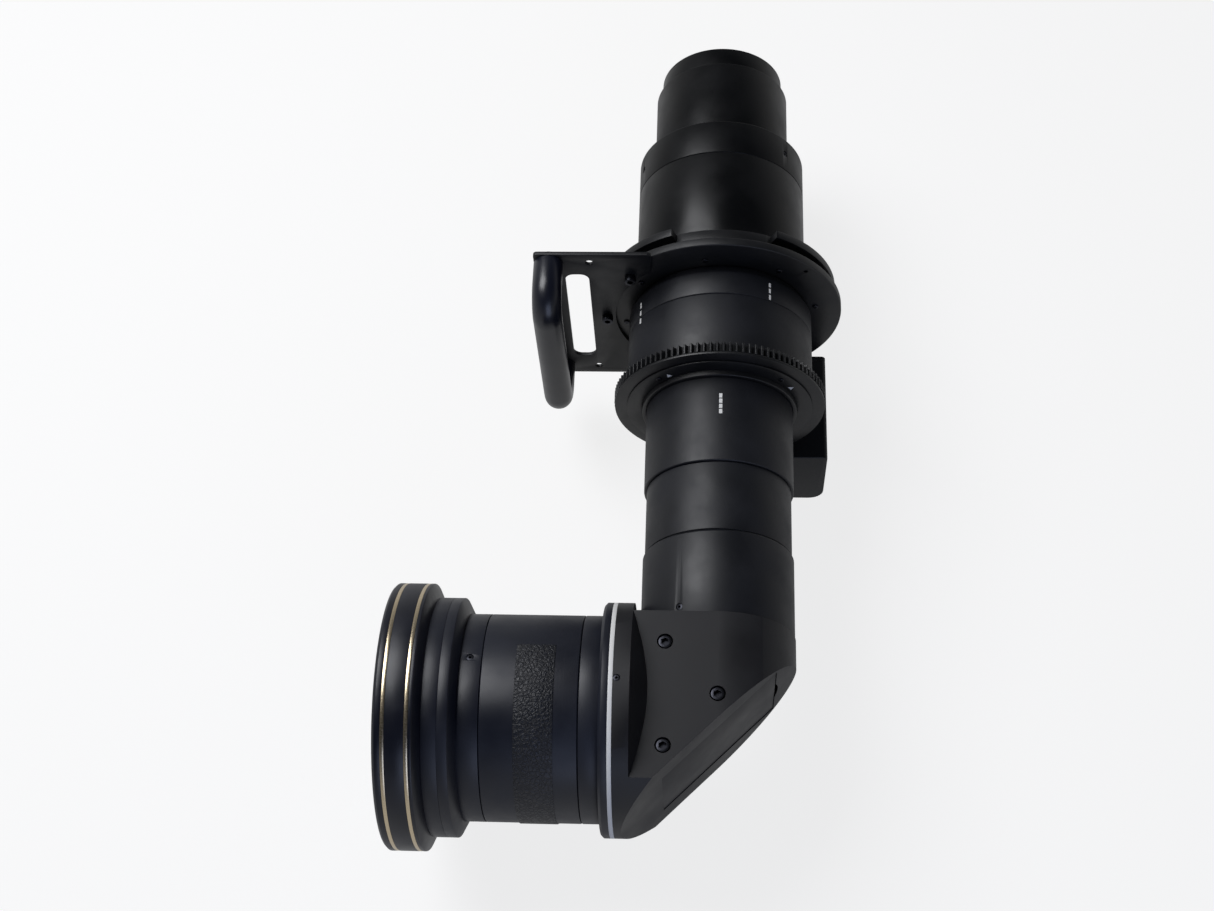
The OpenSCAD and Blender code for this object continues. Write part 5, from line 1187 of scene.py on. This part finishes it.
@dataclass
class DriveHousing:
    """The zoom drive's housing with its rear cover and contact block."""

    inner_x: float = 14.0
    outer_x: float = 85.2
    near: float = 62.0
    far: float = 131.98
    length: float = 93.0
    wall: float = 3.0
    corner: float = 12.0
    edge: float = 3.5
    hollow: float = 81.0
    gear_at: float = 91.5
    gear_angle: float = 60.5
    window: float = 19.9
    contact_at: float = 117.0

    def build(self) -> None:
        """Builds the housing, its cover, the contact block and the screws."""
        front, cover = D.disc - self.length, D.disc - self.wall
        shell = self.slab("drive_housing_moulded", front, cover, 0.0, self.edge)
        inside = self.slab("inside", front + self.wall, cover + 5, self.wall, 0.6)
        combine(shell, inside, "DIFFERENCE")
        for low, high in ((Barrel.LONG.at(self.gear_at, 249.8, 90 + self.gear_angle), Barrel.LONG.at(self.gear_at, 266.5, 90 + self.gear_angle)), (Barrel.LONG.at(self.gear_at - 8, 249.8, 90 + self.gear_angle), Barrel.LONG.at(self.gear_at - 8, 266.5, 90 + self.gear_angle))):
            combine(shell, rod("gear_window", self.window, low, high, 64), "DIFFERENCE")
        fit(shell, Finish.HOUSING, "lens_body", "motor_housing", slot="housing_black")
        lid = self.slab("drive_cover_moulded", cover + 0.15, D.disc, 0.0, 0.5)
        contact = self.contact_block()
        fit(join("drive_cover_moulded", [lid, contact]), Finish.HOUSING, "lens_body", "motor_cover", slot="housing_black")
        self.build_contacts()
        self.build_screws()

    def slab(self, name: str, low: float, high: float, inset: float, edge: float) -> bpy.types.Object:
        """A length of the housing's outline, moved inwards by an inset, with rounded edges."""
        slab = block(name, (self.inner_x + inset, low, -self.far + inset), (self.outer_x - inset, high, -self.near - inset))
        pick(slab)
        bpy.ops.object.mode_set(mode="EDIT")
        bpy.ops.mesh.select_mode(type="EDGE")
        for corner, reach in (((1, -1), self.corner - inset), ((1, 1), self.edge - inset), ((-1, -1), self.edge - inset)):
            bpy.ops.mesh.select_all(action="DESELECT")
            mesh = bmesh.from_edit_mesh(slab.data)
            xs = [v.co.x for v in mesh.verts]
            zs = [v.co.z for v in mesh.verts]
            goal_x = max(xs) if corner[0] > 0 else min(xs)
            goal_z = max(zs) if corner[1] > 0 else min(zs)
            for edge_ in mesh.edges:
                ends = [v.co for v in edge_.verts]
                edge_.select_set(all(abs(e.x - goal_x) < 1e-6 and abs(e.z - goal_z) < 1e-6 for e in ends))
            bmesh.update_edit_mesh(slab.data)
            bpy.ops.mesh.bevel(offset=max(reach, 0.4) * MM, segments=8, affect="EDGES")
        bpy.ops.object.mode_set(mode="OBJECT")
        combine(slab, rod("hollow", self.hollow + inset, Barrel.LONG.at(0, low - 5), Barrel.LONG.at(0, high + 5), STEPS), "DIFFERENCE")
        break_edges(slab, min(edge, 1.2), 3, 50)
        return slab

    def contact_place(self) -> Matrix:
        """The contact block's place: out of the cover along the barrel, square to the radius."""
        base = Barrel.LONG.at(self.contact_at, D.disc, 90 + self.gear_angle)
        outward = (base - Barrel.LONG.at(0, D.disc)).normalized()
        along = Vector((0, 1, 0))
        return Matrix.Translation(base) @ Matrix((outward, along.cross(outward), along)).transposed().to_4x4()

    def contact_block(self) -> bpy.types.Object:
        """The raised wall round the contacts."""
        clear_selection()
        bpy.ops.mesh.primitive_cube_add(size=1.0, location=(0, 0, 3 * MM), scale=(12 * MM, 24 * MM, 6 * MM))
        wall = settle(bpy.context.object)
        break_edges(wall, 1.0, 3, 50)
        bpy.ops.mesh.primitive_cube_add(size=1.0, location=(0, 0, 5 * MM), scale=(8 * MM, 20 * MM, 6 * MM))
        combine(wall, settle(bpy.context.object), "DIFFERENCE")
        wall.matrix_world = self.contact_place()
        return settle(wall)

    def build_contacts(self) -> None:
        """Five gilt contact pins in the block."""
        pins = []
        for i in range(5):
            pin = rod(f"pin_{i}", 0.8, Vector((0, (i - 2) * 4 * MM, 2 * MM)), Vector((0, (i - 2) * 4 * MM, 5 * MM)), 20)
            break_edges(pin, 0.35, 3, 40)
            pin.matrix_world = self.contact_place()
            pins.append(settle(pin))
        fit(join("contact_pins", pins), Finish.BRASS, "lens_body")

    def build_screws(self) -> None:
        """The cover's screws and the bolts through the mount disc."""
        spots = ((self.outer_x - 6.6, self.near + 6.6), (self.inner_x + 6.6, self.far - 6.6), (76.9, 123.7))
        places = [facing(Vector((x * MM, (D.disc - SEAT) * MM, -z * MM)), Vector((0, 1, 0))) for x, z in spots]
        fit(set_in(PanScrew().build("pan"), "cover_screw_heads", places), Finish.BLACK_STEEL, "lens_body")
        places = [facing(Barrel.LONG.at(BOLT_RING, D.mount - BOLT_SINK, 90 + angle), Vector((0, 1, 0))) for angle in BOLT_ANGLES]
        fit(set_in(PanScrew(3.5, 1.8, 0.8, 0.9).build("pan"), "housing_bolt_heads", places), Finish.BLACK_STEEL, "lens_body", "housing_bolts", slot="bright_steel")


class InnerParts:
    """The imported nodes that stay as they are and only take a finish."""

    finishes: dict[Finish, tuple[str, ...]] = {
        Finish.INSIDE: ("front_core", "zoom_cell", "compensator_cell", "focus_cell"),
        Finish.STEEL: ("drive_key", "zoom_pins", "compensator_pins", "guide_rods", "focus_pins", "drive_shaft", "housing_screws", "motor"),
        Finish.BRASS: ("cam_tube", "motor_pinion"),
        Finish.GLASS: ("zoom_glass", "compensator_glass", "focus_glass"),
        Finish.MIRROR: ("mirror",),
        Finish.GEAR: ("drive_gear",),
    }

    def build(self) -> None:
        """Dresses each node that still shows."""
        for finish, names in self.finishes.items():
            for name in names:
                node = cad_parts[name]
                smooth(node)
                dress(node, finish)
                log.info("%s: kept", name)


@dataclass
class Studio:
    """The floor, the lamps, the pale surroundings and the camera."""

    floor_drop: float = 0.6
    room: float = 0.34
    place: tuple[float, float, float] = (-0.0067, -0.7747, 1.1674)
    turn: tuple[float, float, float] = (0.49302, 0.04611, 0.03675)
    lens: float = 52.62
    sensor: float = 36.0

    def build(self, low: Vector) -> None:
        """Builds the stage under the lens.

        Args:
            low: Lowest corner of the object, in metres.
        """
        self.build_floor(low.z - self.floor_drop * MM)
        self.build_world()
        self.build_lamps()
        self.build_camera()

    def build_floor(self, height: float) -> None:
        """A pale floor that the camera sees as white, apart from the object's shadow."""
        clear_selection()
        bpy.ops.mesh.primitive_plane_add(size=12.0, location=(0, -0.2, height))
        floor = settle(bpy.context.object)
        floor.name = "floor"
        material = bpy.data.materials.new("floor_paper")
        material.use_nodes = True
        tree = material.node_tree
        tree.nodes.clear()
        path = add_node(tree, "ShaderNodeLightPath")
        seen = add_node(tree, "ShaderNodeMath", {0: path.outputs["Is Camera Ray"], 1: path.outputs["Is Glossy Ray"]}, operation="MAXIMUM")
        seen = add_node(tree, "ShaderNodeMath", {0: seen.outputs[0], 1: path.outputs["Is Transmission Ray"]}, operation="MAXIMUM")
        # The object's gloss sees the paper as dull as the rest of the room
        dull = add_node(tree, "ShaderNodeMath", {0: path.outputs["Is Glossy Ray"], 1: 0.8 - self.room}, operation="MULTIPLY")
        bright = add_node(tree, "ShaderNodeMath", {0: seen.outputs[0], 1: 0.8}, operation="MULTIPLY")
        glow = add_node(tree, "ShaderNodeMath", {0: bright.outputs[0], 1: dull.outputs[0]}, operation="SUBTRACT")
        paper = add_node(tree, "ShaderNodeBsdfDiffuse", {"Color": (0.22, 0.22, 0.22, 1)})
        light = add_node(tree, "ShaderNodeEmission", {"Color": (1, 1, 1, 1), "Strength": glow.outputs[0]})
        both = add_node(tree, "ShaderNodeAddShader", {0: paper.outputs[0], 1: light.outputs[0]})
        clear = add_node(tree, "ShaderNodeBsdfTransparent")
        side = add_node(tree, "ShaderNodeNewGeometry")
        pick_side = add_node(tree, "ShaderNodeMixShader", {0: side.outputs["Backfacing"], 1: both.outputs[0], 2: clear.outputs[0]})
        add_node(tree, "ShaderNodeOutputMaterial", {0: pick_side.outputs[0]})
        floor.data.materials.append(material)
        floor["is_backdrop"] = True

    def build_world(self) -> None:
        """White round the horizon and below, grey overhead, as in a room with pale walls."""
        world = bpy.data.worlds.new("studio")
        bpy.context.scene.world = world
        world.use_nodes = True
        tree = world.node_tree
        tree.nodes.clear()
        place = add_node(tree, "ShaderNodeTexCoord")
        split = add_node(tree, "ShaderNodeSeparateXYZ", {0: place.outputs["Generated"]})
        level = ramp(tree, split.outputs["Z"], 0.1, 0.62, 1.0, 0.1)
        tint = add_node(tree, "ShaderNodeMix", {0: level, 6: (0.82, 0.88, 1.0, 1), 7: (1, 1, 1, 1)}, data_type="RGBA")
        # The camera sees the walls white, and the object is lit by them at the room's own level
        path = add_node(tree, "ShaderNodeLightPath")
        seen = ramp(tree, path.outputs["Is Camera Ray"], 0.0, 1.0, self.room, 1.0)
        strength = add_node(tree, "ShaderNodeMath", {0: level, 1: seen}, operation="MULTIPLY")
        light = add_node(tree, "ShaderNodeBackground", {"Color": tint.outputs[2], "Strength": strength.outputs[0]})
        add_node(tree, "ShaderNodeOutputWorld", {0: light.outputs[0]})

    def build_lamps(self) -> None:
        """One large soft box up to the left and a weak cool one in front."""
        self.lamp("key", (-0.48, 0.268, 0.833), 1.9, 1.15, 26.0, "#fbfcff")
        self.lamp("fill", (0.25, -0.9, 0.35), 2.0, 1.2, 7.0, "#c9d8ff")

    def lamp(self, name: str, direction: tuple[float, float, float], distance: float, size: float, power: float, colour: str) -> None:
        """Adds a square soft box that looks at the object's middle.

        Args:
            name: The lamp's name.
            direction: The way from the object to the lamp.
            distance: Metres to the lamp.
            size: Side of the lamp in metres.
            power: Watts.
            colour: sRGB hex colour.
        """
        data = bpy.data.lights.new(name, "AREA")
        data.shape, data.size, data.energy = "SQUARE", size, power
        data.color = linear(colour)[:3]
        lamp = bpy.data.objects.new(name, data)
        bpy.context.scene.collection.objects.link(lamp)
        middle = Vector((-0.05, -0.15, 0.0))
        away = Vector(direction).normalized()
        lamp.location = middle + away * distance
        lamp.rotation_euler = away.to_track_quat("Z", "Y").to_euler()

    def build_camera(self) -> None:
        """The camera where the photographer stood."""
        data = bpy.data.cameras.new("camera")
        data.lens, data.sensor_width, data.sensor_fit = self.lens, self.sensor, "HORIZONTAL"
        data.clip_start, data.clip_end = 0.05, 50.0
        camera = bpy.data.objects.new("camera", data)
        bpy.context.scene.collection.objects.link(camera)
        camera.location = self.place
        camera.rotation_euler = self.turn
        bpy.context.scene.camera = camera
        bpy.context.scene.view_settings.view_transform = "Standard"


def main() -> None:
    """Builds the lens piece by piece, then the studio."""
    logging.basicConfig(level=logging.INFO, format="%(name)s %(message)s")
    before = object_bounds()
    for part in (RearBarrel(), MountDisc(), BowHandle(), LongBarrel(), ZoomRing(), Elbow(), FrontBarrel(), DriveHousing(), InnerParts()):
        part.build()
        log.info("%s done", type(part).__name__)
    Studio().build(before[0])


if __name__ == "__main__":
    main()
